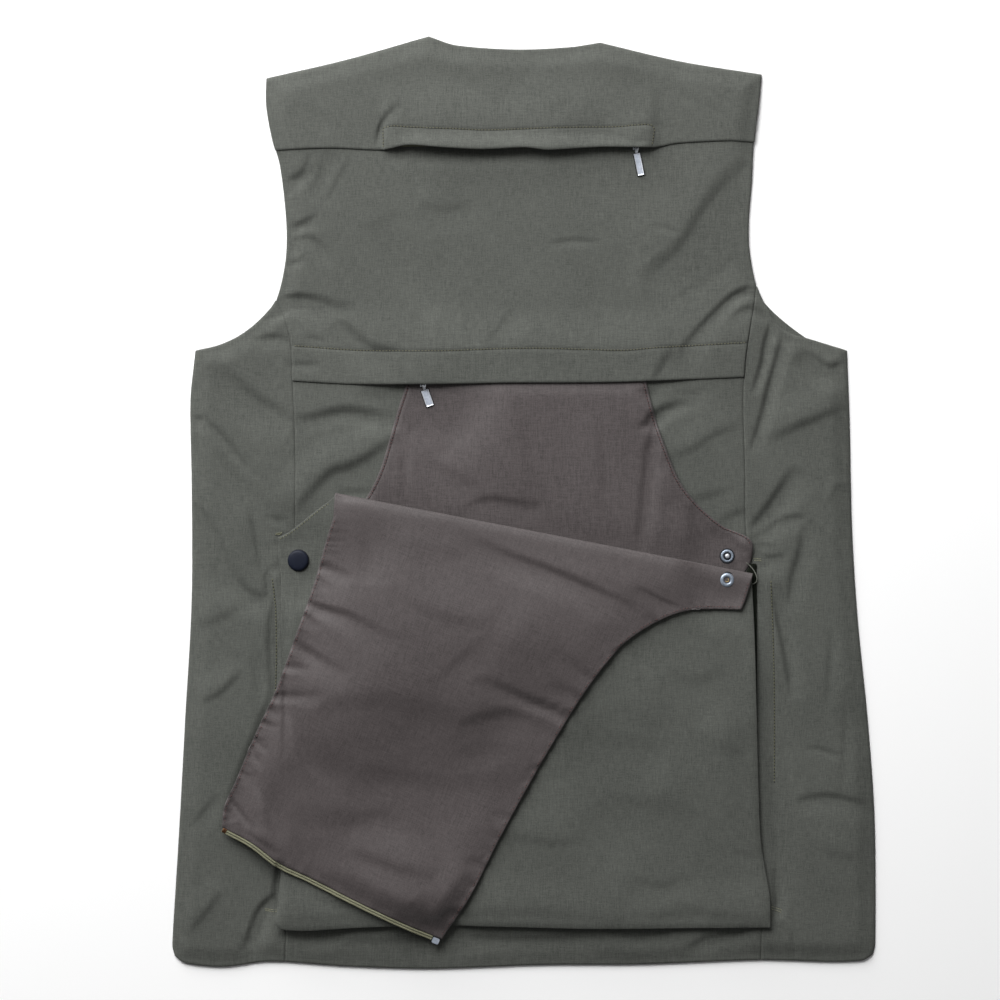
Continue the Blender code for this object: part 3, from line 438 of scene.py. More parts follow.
SHADE_WAY = np.array([0.56, -0.83])  # away from the light
GENTLE = 3.0  # how much wider a fold's lit slope is than its shaded one


class Crease:
    """One row of a fold table, with its line drawn and the way that its shaded slope faces."""

    def __init__(self, row, pleated):
        self.start_width, self.end_width, self.height, *flat = row
        line = curve(np.reshape(flat, (-1, 2)), 5.0)
        way = (line[-1] - line[0]) / np.linalg.norm(line[-1] - line[0])
        normal = np.array([-way[1], way[0]])
        self.facing = np.sign(normal @ SHADE_WAY)
        middle = (self.start_width + self.end_width) / 2
        self.line = line - np.sign(self.height) * 0.5 * middle * self.facing * normal
        self.length = arc(self.line)[-1]
        self.pleated = pleated
        self.reach = GENTLE * max(self.start_width, self.end_width)

    def rise(self, places):
        away, along, side = nearest(places, self.line)
        share = np.clip(along / self.length, 0, 1)
        fade = (1 - share) ** 0.8 if self.pleated else np.sin(math.pi * share) ** 0.7
        width = self.start_width + (self.end_width - self.start_width) * share
        width = width * np.where(side * self.facing * self.height > 0, 1.0, GENTLE)
        return self.height * fade * (1 + np.cos(math.pi * np.minimum(away / width, 1))) / 2


def ridges(creases, places):
    """How far a set of folds lifts the cloth. The largest one counts where they cross."""
    rise, sink = np.zeros(len(places)), np.zeros(len(places))
    for crease in creases:
        low, high = crease.line.min(0) - crease.reach, crease.line.max(0) + crease.reach
        close = np.flatnonzero(np.all((places > low) & (places < high), axis=1))
        lift = crease.rise(places[close])
        rise[close] = np.maximum(rise[close], lift)
        sink[close] = np.minimum(sink[close], lift)
    return rise + sink


def folds(creases, pleats=()):
    return [Crease(row, False) for row in creases] + [Crease(row, True) for row in pleats]


BODY_FOLDS, FLAP_FOLDS = folds(BODY_CREASES, BODY_PLEATS), folds(FLAP_CREASES, FLAP_PLEATS)
LINING_FOLDS, BAG_FOLDS, CORNER_FOLDS = folds(LINING_CREASES), folds(BAG_CREASES), folds(CORNER_CREASES)


def wander(places, size, seed):
    """A soft random height between 0 and 1, its hills about the size across."""
    draw = np.random.default_rng(seed)
    total = np.zeros(len(places))
    for _ in range(18):
        turn, phase = draw.uniform(0, 2 * math.pi, 2)
        wave = size * draw.uniform(0.7, 1.6)
        total += np.cos(places @ np.array([math.cos(turn), math.sin(turn)]) * 2 * math.pi / wave + phase)
    return 0.5 + 0.5 * np.tanh(total / 4)


def puckers(places, path, reach, height, period, seed, slant=0.0):
    """The small waves that a row of stitches pulls into a cloth edge, fading away from it."""
    away, along, _ = nearest(places, path)
    draw = np.random.default_rng(seed)
    marks = np.cumsum(draw.uniform(0.6, 1.5, 400)) * period
    sizes = draw.uniform(0.25, 1.0, 400)
    where = np.searchsorted(marks, along + slant * away)
    low, high = np.concatenate([[0], marks])[where], marks[where]
    share = (along + slant * away - low) / (high - low)
    return height * sizes[where] * np.sin(math.pi * np.clip(share, 0, 1)) ** 2 * np.exp(-away / reach)


# %% [markdown]
# ## The height of every layer
# The body lies on the fronts, the bag's lining on the body, and the bag's front on the
# lining. A layer's height is its level plus every fold below it, so no two layers cross.
# Near the snaps and the zip pulls the cloth keeps the CAD's height, because they lie on it.

# %% Heights of the layers
YOKE_ZIP_X, YOKE_ZIP_Y = (-104.0, 100.0), (283.6, 297.0)
BAG_ZIP_X, BAG_ZIP_Y = (-88.0, 94.0), (102.2, 111.5)
YOKE_SLIDER, BAG_SLIDER = np.array([90.5, 287.3]), np.array([-79.4, 98.2])
YOKE_PIVOT, YOKE_TIP = np.array([90.5, 281.7]), np.array([94.8, 260.4])
BAG_PIVOT, BAG_TIP = np.array([-79.4, 92.4]), np.array([-73.6, 76.0])
CAP, STUD, SOCKET = np.array([-179.0, -47.0]), np.array([163.5, -43.5]), np.array([163.0, -62.6])
ZIP_BOX = np.array([-69.3, -350.2])
HARD_ON_FLAP = [(SOCKET, 13), (ZIP_BOX, 12)]
HARD = [(YOKE_PIVOT, 20), ((YOKE_TIP + YOKE_PIVOT) / 2, 20), (BAG_PIVOT, 18), (BAG_TIP, 18)]
HARD += [(CAP, 16), (STUD, 13), *HARD_ON_FLAP]
OUTLINE = np.vstack([HEM, SIDE_RIGHT, ARMHOLE_RIGHT, SHOULDER_RIGHT[::-1], NECK[::-1], SHOULDER_LEFT[::-1]])
OUTLINE = np.vstack([OUTLINE, ARMHOLE_LEFT[::-1], SIDE_LEFT[::-1]])[::3]


def calm(places, far=1.9, hard=HARD):
    """0 on a hard piece, 1 away from all of them. It grows up to some reaches from each piece."""
    quiet = np.ones(len(places))
    for place, reach in hard:
        away = np.linalg.norm(places - place, axis=1)
        quiet *= ramp(away, 0.5 * reach, far * reach)
    return quiet


def at_least(value, least=0.0):
    """A value that bends softly to a least one."""
    return least + (value - least + np.sqrt((value - least) ** 2 + 0.16)) / 2


# How far each layer swells at least, how much more it may, and how strongly its folds count.
BODY_SWELL, LINING_SWELL, BAG_SWELL, FLAP_SWELL = (2.1, 0.9), 1.5, (0.6, 0.8), (1.1, 0.7)
BODY_DEPTH, LINING_DEPTH, BAG_DEPTH, FLAP_DEPTH = 1.7, 1.4, 1.35, 1.4
WIDE_CALM = 3.6
# Soft hills and hollows: height, x, y and width.
CORNER_HILL = (2.6, 177, -38, 9)
BAG_HILLS = [(-2.2, -80, -225, 60), (3.0, 52, -146, 58), (-1.7, 152, -286, 50)]
# The bag's bellows lift its right edge, and the turned-down part is full in its middle.
BELLOWS_LIFT, BELLOWS_X, BELLOWS_WIDTH = 1.4, 189, 9
CROWN = 6.7
FLAP_SIDES = np.vstack([FLAP_LEFT, ZIP_EDGE, FLAP_RIGHT])
FLAP_RIM = np.vstack([FLAP_SIDES, FLAP_CORNER])


def body_relief(places):
    inland = ramp(nearest(places, OUTLINE)[0], 0, 16)
    least, more = BODY_SWELL
    swell = inland * calm(places, WIDE_CALM) * (least + more * wander(places, 95, 3))
    return at_least(swell + calm(places) * BODY_DEPTH * ridges(BODY_FOLDS, places))


def mound(places, height, x, y, width):
    """A round soft hill, or a hollow where the height is below 0."""
    return height * np.exp(-((places - (x, y)) ** 2).sum(1) / width**2)


def lining_relief(places):
    shown = ramp((places - Fold.start) @ Fold.out, -6, 24) * ramp(-places[:, 1], -98, -84)
    soft = LINING_SWELL * calm(places, WIDE_CALM) + calm(places) * LINING_DEPTH * ridges(LINING_FOLDS, places)
    off_stud = ramp(np.linalg.norm(places - STUD, axis=1), 7, 11)
    soft += off_stud * (mound(places, *CORNER_HILL) + ridges(CORNER_FOLDS, places))
    return body_relief(places) + shown * at_least(soft)


def bag_relief(places):
    x, y = places.T
    least, more = BAG_SWELL
    soft = least + 1.3 * ramp(nearest(places, BAG_RIGHT)[0], 0, 30) + more * wander(places, 80, 5)
    soft += sum(mound(places, *hill) for hill in BAG_HILLS)
    bellows = np.exp(-(((x - BELLOWS_X) / BELLOWS_WIDTH) ** 2)) * ramp(-y, 92, 120) * ramp(y, -225, -140)
    soft += BELLOWS_LIFT * bellows
    creases = calm(places) * BAG_DEPTH * ridges(BAG_FOLDS, places)
    return body_relief(places) + at_least(calm(places, 3.2) * soft + creases)


def flap_drop(places):
    """How far the part beyond the bag's left edge sinks, down onto the side panel."""
    return 3 * LAYER * ramp(-places[:, 0], 204.0, 226.0)


def flap_relief(places):
    away = (places - Fold.start) @ -Fold.out
    swell = 1.1 * np.maximum(away, 0) / 7 * np.exp(1 - np.maximum(away, 0) / 7)
    rim = nearest(places, FLAP_SIDES)[0]
    down = -places[:, 1]
    valley = down + 18 * wander(places, 110, 21)
    crown = ramp(away, 0, 100) * (1 - ramp(valley, 150, 246)) * ramp(rim, 0, 74)
    near_tip = ramp(down, 270, 300)
    inner = 0.8 + 3.4 * ramp(down, 246, 322) + 1.8 * ramp(down, 282, 330)
    least, more = FLAP_SWELL
    soft = least + CROWN * crown + ramp(rim, 0, 36 - 16 * near_tip) * inner + more * wander(places, 70, 8)
    soft = (soft + FLAP_DEPTH * ridges(FLAP_FOLDS, places)) * ramp(-places[:, 0], -150, -110)
    soft += puckers(places, FLAP_LEFT, 7, 0.9, 7, 11, slant=0.25)
    soft += puckers(places, FLAP_RIGHT, 7, 0.9, 7, 12, slant=-0.3)
    soft += puckers(places, ZIP_EDGE, 9, 0.6, 14, 13)
    settle = ramp(away, 0, 26)
    return settle * calm(places, 1.9, HARD_ON_FLAP) * at_least(soft) + swell - flap_drop(places)


SLIDER_LIFT = 2.9


def lifted(value, edge, near=6, far=46):
    """1 up to a little past an edge, then gently down to 0."""
    return ramp(-value, -(edge + far), -(edge + near))


def yoke_height(places):
    x, y = places.T
    over_zip = lifted(x, YOKE_ZIP_X[1], 0, 11) * lifted(-x, -YOKE_ZIP_X[0], 0, 11)
    gape = 3.7 * ramp(x, -113, -84) * ramp(-x, -109, -95) * ramp(-y, -296, -282)
    lift = np.maximum(gape, mound(places, SLIDER_LIFT, *YOKE_SLIDER, 15))
    return BODY + lifted(y, YOKE_ZIP_Y[1]) * (LAYER + over_zip * 1.9 + lift) + body_relief(places)


def panel_height(places):
    x, y = places.T
    over_bag = lifted(x, LINING_RIGHT[-1, 0]) * lifted(-x, -LINING_LEFT[-1, 0])
    slider = mound(places, SLIDER_LIFT, *BAG_SLIDER, 28)
    mouth = ramp(x, -114, -96) * ramp(-x, -110, -96) * ramp(y, 264, 279)
    level = BODY + lifted(y, BAND_SEAM_TOP) * (LAYER + over_bag * (2 * LAYER + slider))
    return level + (1 - mouth) * body_relief(places)


def body_height(places):
    return BODY + body_relief(places)


def lining_height(places):
    return LINING + lining_relief(places)


def front_height(places):
    return 0.4 * np.minimum(body_relief(places), 3)


print("relief at the middle of the back", round(float(body_relief(np.array([[0.0, 200.0]]))[0]), 2), "mm")

# %% [markdown]
# ## Writing finishes as sums
# A finish is a tree of shader nodes. `Socket` wraps one output, and arithmetic on it adds the
# Math nodes, so a weave can be written as a formula. `Finish` makes every other node.

# %% The finish writer


class Socket:
    """One output of a finish's node. Arithmetic on it adds Math nodes."""

    def __init__(self, finish, link):
        self.finish, self.link = finish, link

    def maths(self, operation, *values):
        return self.finish.node("Math", {"operation": operation}, dict(enumerate(values)))

    def __add__(self, other):
        return self.maths("ADD", self, other)

    def __sub__(self, other):
        return self.maths("SUBTRACT", self, other)

    def __mul__(self, other):
        return self.maths("MULTIPLY", self, other)

    def sine(self):
        return self.maths("SINE", self)


class Finish:
    """A material in the making. Constants go on the shader's own sockets."""

    def __init__(self, name, **constants):
        self.material = bpy.data.materials.new(name)
        self.material.use_nodes = True
        self.tree = self.material.node_tree
        self.shader = self.tree.nodes["Principled BSDF"]
        for socket, value in constants.items():
            self.feed(self.shader.inputs[socket.replace("_", " ")], value)

    def feed(self, socket, value):
        if isinstance(value, Socket):
            self.tree.links.new(value.link, socket)
        else:
            socket.default_value = value

    def node(self, kind, settings=None, inputs=None, output=0):
        made = self.tree.nodes.new("ShaderNode" + kind)
        for setting, value in (settings or {}).items():
            setattr(made, setting, value)
        for socket, value in (inputs or {}).items():
            self.feed(made.inputs[socket], value)
        return Socket(self, made.outputs[output])

    def place(self, turn=0.0, sizes=(1, 1, 1)):
        """Object coordinates in units of some millimetres, turned about Z."""
        where = self.node("TexCoord", output="Object")
        turned = self.node("Mapping", {"vector_type": "TEXTURE"}, {"Vector": where, "Rotation": (0, 0, turn)})
        scale = tuple(1 / (MM * size) for size in sizes)
        return self.node("Mapping", None, {"Vector": turned, "Scale": scale})

    def noise(self, place, detail=2.0, roughness=0.5):
        settings = {"Vector": place, "Scale": 1.0, "Detail": detail, "Roughness": roughness}
        return self.node("TexNoise", None, settings)

    def blend(self, share, first, second):
        return self.node("Mix", {"data_type": "RGBA"}, {0: share, 6: (*first, 1), 7: (*second, 1)}, output=2)

    def colour(self, value):
        self.feed(self.shader.inputs["Base Color"], value)

    def relief(self, height, depth):
        """Small relief, its depth in millimetres."""
        bump = self.node("Bump", None, {"Strength": 1.0, "Distance": depth * MM, "Height": height})
        self.feed(self.shader.inputs["Normal"], bump)


# %% [markdown]
# ## Cotton twill
# The shell is a fine twill: warp yarns run up the back and cross the weft in slanting steps.
# From a metre away the steps are too fine to see, and what shows is the unevenness of the
# yarns, faint streaks along and across, and specks. An image of cloth would do it, but
# formulas on the object's own coordinates stay sharp at any distance. The lining is a finer,
# slightly shiny weave. Its panel is turned over, so its yarns run at a slant.

# %% Cloth finishes


def woven(name, dark, light, turn=0.0, pitch=0.62, depth=0.05, rough=(0.78, 0.9), grain=1.7, **constants):
    """A cloth finish between two colours. Its grain is how uneven the yarns are."""
    finish = Finish(name, **constants)
    yarn = finish.place(turn)
    x, y = (finish.node("SeparateXYZ", None, {"Vector": yarn}, output=k) for k in (0, 1))
    step = 2 * math.pi / pitch
    twill = ((x + y) * step).sine() * 0.5 + 0.5
    threads = ((x - y) * (step * 0.5)).sine() * 0.5 + 0.5
    warp = finish.noise(finish.place(turn, (0.55, 9.0, 5.0)), detail=3.0)
    weft = finish.noise(finish.place(turn, (8.0, 0.6, 5.0)), detail=3.0)
    specks = finish.noise(finish.place(turn, (0.9, 0.9, 0.9)), detail=4.0, roughness=0.7)
    clouds = finish.noise(finish.place(turn, (60.0, 60.0, 60.0)), detail=3.0)
    uneven = warp * 0.55 + weft * 0.45 + specks * 0.75 - 0.875
    share = uneven * grain + clouds * 0.35 + twill * 0.12 + 0.275
    finish.colour(finish.blend(share, dark, light))
    finish.feed(finish.shader.inputs["Roughness"], specks * (rough[1] - rough[0]) + rough[0])
    finish.relief(twill * 0.5 + threads * 0.2 + warp * 0.5 + weft * 0.4 + specks * 0.4, depth)
    return finish.material


FLAP_TURN = 2 * math.atan2(Fold.along[1], Fold.along[0])
GREEN = woven(
    "green cotton twill", (0.044, 0.047, 0.042), (0.118, 0.123, 0.110),
    Specular_IOR_Level=0.22, Sheen_Weight=0.05,
)
# The gussets' twill is painted almost black, with no gloss to catch the lamp: painted shade deep in the bellows.
GREEN_PAINTED_SHADE = woven(
    "green twill painted in shade inside the bellows", (0.004, 0.005, 0.004), (0.014, 0.016, 0.012), Specular_IOR_Level=0.0
)
BROWN = woven(
    "brown lining", (0.041, 0.034, 0.034), (0.093, 0.079, 0.079), pitch=0.5, depth=0.035,
    rough=(0.5, 0.62), grain=2.6, Specular_IOR_Level=0.35, Sheen_Weight=0.10,
)
BROWN_TURNED = woven(
    "brown lining turned down", (0.040, 0.033, 0.033), (0.092, 0.078, 0.078), turn=FLAP_TURN,
    pitch=0.5, depth=0.035, rough=(0.48, 0.6), grain=2.2, Specular_IOR_Level=0.35, Sheen_Weight=0.12,
)
TAPE = woven(
    "olive zip tape", (0.125, 0.132, 0.080), (0.235, 0.245, 0.160), pitch=0.8, depth=0.06, Sheen_Weight=0.05
)
print("cloth finishes", [m.name for m in (GREEN, BROWN, BROWN_TURNED, TAPE)])

# %% [markdown]
# ## Thread, metal and enamel
# The thread is a twisted yarn whose strands catch the light unevenly, so its finish is
# specked. Zip metal is cast and tumbled: soft silver with darker specks. The pull tabs'
# edges, the snaps' bases and the needle holes are painted near black, as painted shade.
# The snap's cap has baked navy enamel.

# %% Finishes of the small pieces


def yarn(name, dark, light):
    finish = Finish(name, Roughness=0.75)
    specks = finish.noise(finish.place(0, (0.35, 0.35, 0.35)), detail=3.0)
    finish.colour(finish.blend(specks * 1.6 - 0.3, dark, light))
    finish.relief(specks, 0.05)
    return finish.material


def cast(name, dark, light, rough, metallic=1.0, **constants):
    finish = Finish(name, Metallic=metallic, **constants)
    grain = finish.noise(finish.place(0, (0.5, 0.5, 0.5)), detail=5.0, roughness=0.7)
    worn = finish.noise(finish.place(0, (2.6, 2.6, 2.6)), detail=3.0)
    finish.colour(finish.blend(worn * 0.8 + grain * 0.6 - 0.25, dark, light))
    finish.feed(finish.shader.inputs["Roughness"], grain * 0.2 + rough)
    finish.relief(grain, 0.02)
    return finish.material


OLIVE_THREAD = yarn("olive thread", (0.050, 0.047, 0.022), (0.165, 0.158, 0.098))
HOLE_PAINTED_SHADE = yarn("painted shade of the needle holes", (0.003, 0.003, 0.002), (0.010, 0.009, 0.007))
TAN_THREAD = yarn("tan thread", (0.060, 0.060, 0.028), (0.200, 0.200, 0.115))
PALE_THREAD = yarn("pale olive thread", (0.150, 0.150, 0.090), (0.300, 0.300, 0.200))
BROWN_THREAD = yarn("reddish brown thread", (0.050, 0.019, 0.019), (0.130, 0.060, 0.058))
GREY_THREAD = yarn("grey green thread", (0.070, 0.073, 0.062), (0.190, 0.195, 0.165))
ZIP_TEETH = yarn("olive zip teeth", (0.150, 0.148, 0.092), (0.310, 0.305, 0.210))
SILVER = cast("silver zip metal", (0.50, 0.52, 0.56), (0.82, 0.85, 0.90), 0.3, metallic=0.6)
# The snaps' bases are painted near black with little shine: painted shade round each snap and inside its ring.
SNAP_PAINTED_SHADE = cast("snap base painted in shade", (0.004, 0.004, 0.006), (0.016, 0.017, 0.022), 0.45, metallic=0.3)
SILVER_FACE = cast("rough zip metal", (0.24, 0.27, 0.33), (0.72, 0.77, 0.86), 0.42, metallic=0.5)
SNAP_SILVER = cast("silver snap metal", (0.13, 0.16, 0.21), (0.46, 0.53, 0.62), 0.30, metallic=0.5)
BLUE_METAL = cast("bluish zip metal", (0.24, 0.30, 0.42), (0.88, 0.94, 1.0), 0.28, metallic=0.6)
COPPER = cast("copper zip stop", (0.05, 0.022, 0.012), (0.26, 0.13, 0.065), 0.4)
PAINTED_EDGE_SHADE = cast(
    "painted shade on the zip metal's edges", (0.004, 0.004, 0.005), (0.014, 0.014, 0.017), 0.6, metallic=0.0,
    Specular_IOR_Level=0.05,
)
BRASS = cast("brass spring", (0.62, 0.42, 0.10), (0.95, 0.74, 0.28), 0.3, metallic=0.4)
ENAMEL = cast(
    "navy enamel", (0.004, 0.006, 0.013), (0.010, 0.013, 0.026), 0.42, metallic=0.0, Specular_IOR_Level=0.18
)
THREADS = (OLIVE_THREAD, TAN_THREAD, PALE_THREAD, BROWN_THREAD, GREY_THREAD)
print("small finishes made, thread in", len(THREADS), "colours")

# %% [markdown]
# ## Cutting a sheet
# Each piece has four edges. `patch` lays a net between them, as a tailor eases cloth between
# four seams, so its rows follow the edges. A flat outline ruled with straight lines would
# also do, but would leave slivers along every edge. The net's lines come closer together at
# the edges and along stitches, where the cloth bends most.

# %% Nets between four edges


class Edge:
    """One edge of a piece, read by its share from 0 to 1. Its corners lie at the given shares."""

    def __init__(self, *paths, corners=()):
        shares = [0, *corners, 1]
        paths = [np.array(path, float) for path in paths]
        self.places = np.vstack(paths)
        self.shares = np.concatenate(
            [
                low + (high - low) * arc(path) / arc(path)[-1]
                for path, low, high in zip(paths, shares, shares[1:])
            ]
        )

    def at(self, shares):
        return np.stack([np.interp(shares, self.shares, self.places[:, k]) for k in (0, 1)], -1)


CLOSEST, WIDENING = 0.45, 0.35


def stations(length, step=2.6, fine=(), keep=()):
    """Shares along a length: a step apart, closer at the ends and at fine places, some kept exactly."""
    spots = np.array([0, length, *fine])
    places = [0.0]
    while places[-1] < length:
        places.append(places[-1] + min(step, CLOSEST + WIDENING * np.abs(spots - places[-1]).min()))
    shares = np.array(places) / places[-1]
    for share in keep:
        shares[np.abs(shares - share).argmin()] = share
    return shares


def patch(bottom, right, top, left, columns, rows):
    """The net's places by row, from below. Bottom and top run to the right, the sides upwards."""
    u, v = columns[None, :, None], rows[:, None, None]
    low, high = bottom.at(columns)[None], top.at(columns)[None]
    near, far = left.at(rows)[:, None], right.at(rows)[:, None]
    corners = (1 - u) * (1 - v) * low[:, :1] + u * (1 - v) * low[:, -1:]
    corners = corners + (1 - u) * v * high[:, :1] + u * v * high[:, -1:]
    return (1 - v) * low + v * high + (1 - u) * near + u * far - corners


def add_net(bm, net, turn=0.0):
    """A grid in the bmesh with its points at the net's places. Gives its points by row."""
    rows, columns = net.shape[:2]
    grid = bmesh.ops.create_grid(bm, x_segments=columns - 1, y_segments=rows - 1, size=1)["verts"]
    for vert, place in zip(grid, net.reshape(-1, 2)):
        vert.co = (*place, turn)
    return [grid[row * columns : (row + 1) * columns] for row in range(rows)]


def border(net):
    return np.vstack([net[0], net[:, -1], net[-1, ::-1], net[::-1, 0]])


# %% [markdown]
# ## Laying a sheet
# The flat net gets its heights, a dent along every row of stitches, and soft edges. Where
# the back's cloth turns down to meet the fronts, the edge is rolled. Solidify then gives it
# the thickness of cloth, growing up from the underside that the net stands for.

# %% From a flat net to a piece of cloth
ROLL_WIDTH, ROLL_LIFT = 4.0, 0.15
DENT, DENT_WIDTH = 0.4, 1.3
pieces, cuts = {}, {}


def make_object(name, bm, finish, body="vest", node=None):
    """An object from a bmesh in millimetres on the table, its place in its mesh."""
    mesh = bpy.data.meshes.new(name)
    bm.transform(Matrix.Scale(MM, 4) @ Matrix.Translation((-CENTRE[0], -CENTRE[1], 0)))
    bm.to_mesh(mesh)
    bm.free()
    mesh.shade_smooth()
    made = bpy.data.objects.new(name, mesh)
    bpy.context.scene.collection.objects.link(made)
    mesh.materials.append(finish)
    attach(made, body)
    if node:
        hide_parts(node)
    pieces[name] = made
    return made


def paint(bm, known, finish):
    """Gives a finish, by its number, to the faces that a bmesh got since it had so many."""
    bm.faces.ensure_lookup_table()
    for face in bm.faces[known:]:
        face.material_index = finish


def bevel(bm, edges, offset, segments):
    bmesh.ops.bevel(
        bm, geom=list(edges), offset=offset, offset_type="OFFSET", affect="EDGES", segments=segments,
        profile=0.5, material=-1,
    )


def thicken(made, thickness=CLOTH):
    solid = made.modifiers.new("cloth thickness", "SOLIDIFY")
    solid.thickness = thickness * MM
    solid.offset = 1.0
    return made


def soften(places, edge, depth, reach=1.3):
    return depth * (1 - np.minimum(nearest(places, edge)[0] / reach, 1)) ** 2


def lay(
    node, net, height, rests_on, finish=GREEN, rolled=(), stitched=(), edge_drop=0.55
):
    """Lays a net at its heights as a sheet of cloth that stands for a CAD node."""
    name = f"{node}_cloth"
    bm = bmesh.new()
    add_net(bm, net)
    places = net.reshape(-1, 2)
    area = sum(face.calc_area() for face in bm.faces)
    level = height(places) + REST - soften(places, border(net), edge_drop)
    for line in stitched:
        level -= DENT * np.exp(-((nearest(places, line)[0] / DENT_WIDTH) ** 2))
    for line in rolled:
        near = 1 - np.minimum(nearest(places, line)[0] / ROLL_WIDTH, 1)
        level = ROLL_LIFT + (level - ROLL_LIFT) * np.sqrt(1 - near**2)
    for vert, z in zip(bm.verts, level):
        vert.co.z = z
    thicken(make_object(name, bm, finish, node=node))
    cuts[name] = (places.max(0) - places.min(0), area, "laid", rests_on)
    print(f"{name}: {len(places)} points, top at {level.max() + CLOTH:.1f} mm")


# %% [markdown]
# ## The body
# The back is cut in five: two side panels that run up to the armholes, a lower back that is
# mostly under the game bag, the back panel with its stitched band, and the yoke. Panels meet
# at seams, where both edges turn down into a narrow dark groove.

# %% Side panels
WELT_STITCH = curve(
    [
        (-111.2, 282.5), (-111.2, 298), (-110, 298.7), (-102.4, 299.8), (-93, 299), (-68.4, 298),
        (-54.2, 297.5), (-30.8, 296.4), (-7.6, 297), (10, 297.8), (30, 298.5), (53, 299), (75, 299.3),
        (97, 301), (103, 300.4), (105.2, 298), (104.6, 292), (103.4, 284.5),
    ],
    2.0,
)
BAND_STITCH = curve(
    [(-182.6, 124.4), (-129, 120.8), (-67, 120.4), (6, 122.4), (79.6, 120.7), (106.5, 122.8), (178.6, 127)]
)
POCKET_STITCH_LEFT = curve([(-200, -61), (-197.2, -88), (-197, -138), (-199, -178)])
POCKET_STITCH_RIGHT = curve([(198.4, -63), (199.6, -92), (201.2, -160), (201.2, -225)])

lay(
    "side_left",
    patch(
        Edge(between(HEM, 0, -277.5, -190)), Edge(SEAM_LEFT), Edge(between(ARMHOLE_LEFT, 1, 120.5, 161)),
        Edge(SIDE_LEFT), stations(90, 1.9), stations(520, 1.9),
    ),
    body_height, ["front_left_cloth"], rolled=[SIDE_LEFT], stitched=[POCKET_STITCH_LEFT],
)
lay(
    "side_right",
    patch(
        Edge(between(HEM, 0, 191, 279.5)), Edge(SIDE_RIGHT),
        Edge(between(ARMHOLE_RIGHT, 1, 120.5, 172.5)[::-1]), Edge(SEAM_RIGHT),
        stations(90, 1.9), stations(520, 1.9),
    ),
    body_height, ["front_right_cloth"], rolled=[SIDE_RIGHT], stitched=[POCKET_STITCH_RIGHT],
)

# %% Lower back, back panel and yoke
SEAM_GAP = np.array([0.5, 0])
lay(
    "back_lower",
    patch(
        Edge(between(HEM, 0, -189.7, 190.7) + SEAM_GAP[::-1]),
        Edge(between(SEAM_RIGHT, 1, -366, BAND_SEAM_TOP) - SEAM_GAP),
        Edge([(-184.3, BAND_SEAM_TOP), (177.6, BAND_SEAM_TOP)]),
        Edge(between(SEAM_LEFT, 1, -367.5, BAND_SEAM_TOP) + SEAM_GAP), stations(378, 2.7), stations(480, 2.7),
    ),
    body_height, ["front_left_cloth", "front_right_cloth"],
)
BEND = (0.35,)
lay(
    "back_panel",
    patch(
        Edge(BAND_EDGE),
        Edge(
            between(SEAM_RIGHT, 1, 99.5, 172.5) - SEAM_GAP,
            between(ARMHOLE_RIGHT, 1, 172.5, YOKE_SEAM_TOP) - SEAM_GAP,
            corners=BEND,
        ),
        Edge([(-200, YOKE_SEAM_TOP), (185.2, YOKE_SEAM_TOP)]),
        Edge(
            between(SEAM_LEFT, 1, 96.5, 161) + SEAM_GAP,
            between(ARMHOLE_LEFT, 1, 161, YOKE_SEAM_TOP) + SEAM_GAP,
            corners=BEND,
        ),
        stations(372, 1.9), stations(196, 1.9, fine=(27,)),
    ),
    panel_height, ["back_lower_cloth"], stitched=[BAND_STITCH],
)
SHOULDER_ENDS = ((-75 + 204.5) / 395.5, (62 + 204.5) / 395.5)
lay(
    "yoke",
    patch(
        Edge(YOKE_EDGE), Edge(between(ARMHOLE_RIGHT, 1, 287.5, 341)),
        Edge(SHOULDER_LEFT, NECK, SHOULDER_RIGHT, corners=SHOULDER_ENDS),
        Edge(between(ARMHOLE_LEFT, 1, 281, 338)),
        stations(395, 2.1, fine=(86, 302), keep=SHOULDER_ENDS), stations(78, 2.1, fine=(15, 18)),
    ),
    yoke_height, ["back_panel_cloth"], rolled=[SHOULDER_LEFT, SHOULDER_RIGHT], stitched=[WELT_STITCH],
)

# %% [markdown]
# ## Lining and gussets
# Behind the bag's opening lies its brown back lining, tapered at the top. Narrow gussets
# join it to the front panel, so that the bag can open out. They lie folded flat.

# %% Back lining and gussets
LINING_STITCHES = [between(LINING_LEFT, 1, -24, 94) + (2.2, 0), between(LINING_RIGHT, 1, -34, 94) + (-2.2, 0)]
lay(
    "bag_lining",
    patch(
        Edge([(-175.3, -324.8), (171.5, -324.8)]), Edge(LINING_RIGHT - SEAM_GAP / 2),
        Edge([(-92.8, 107.8), (98.8, 107.8)]), Edge(LINING_LEFT + SEAM_GAP / 2), stations(300), stations(450),
    ),
    lining_height, ["back_lower_cloth"], BROWN, stitched=LINING_STITCHES,
)
foot, top = GUSSET_BOTTOM_Y
(gusset_left_out, gusset_left_in), gusset_right_in = GUSSET_LEFT_X, GUSSET_RIGHT_INNER[0, 0]


def strip_net(left, right, low, high, step=5.0):
    return patch(
        Edge([(left, low), (right, low)]), Edge([(right, low), (right, high)]),
        Edge([(left, high), (right, high)]), Edge([(left, low), (left, high)]),
        stations(right - left, step), stations(high - low, step),
    )


GUSSET_NETS = {
    "gusset_left": strip_net(gusset_left_out, gusset_left_in, foot, GUSSET_TOP_LEFT),
    "gusset_bottom": strip_net(gusset_left_in + 0.3, gusset_right_in - 0.3, foot, top),
    "gusset_right": patch(
        Edge([(172, -338), (186, -338)]), Edge(GUSSET_RIGHT_OUTER), Edge([(183.1, -50), (186.6, -50)]),
        Edge(GUSSET_RIGHT_INNER), stations(14), stations(288, 5.0),
    ),
}
# The gussets take the green painted almost black, the painted shade deep inside the bellows.
for node, net in GUSSET_NETS.items():
    lay(node, net, lining_height, ["back_lower_cloth"], GREEN_PAINTED_SHADE)

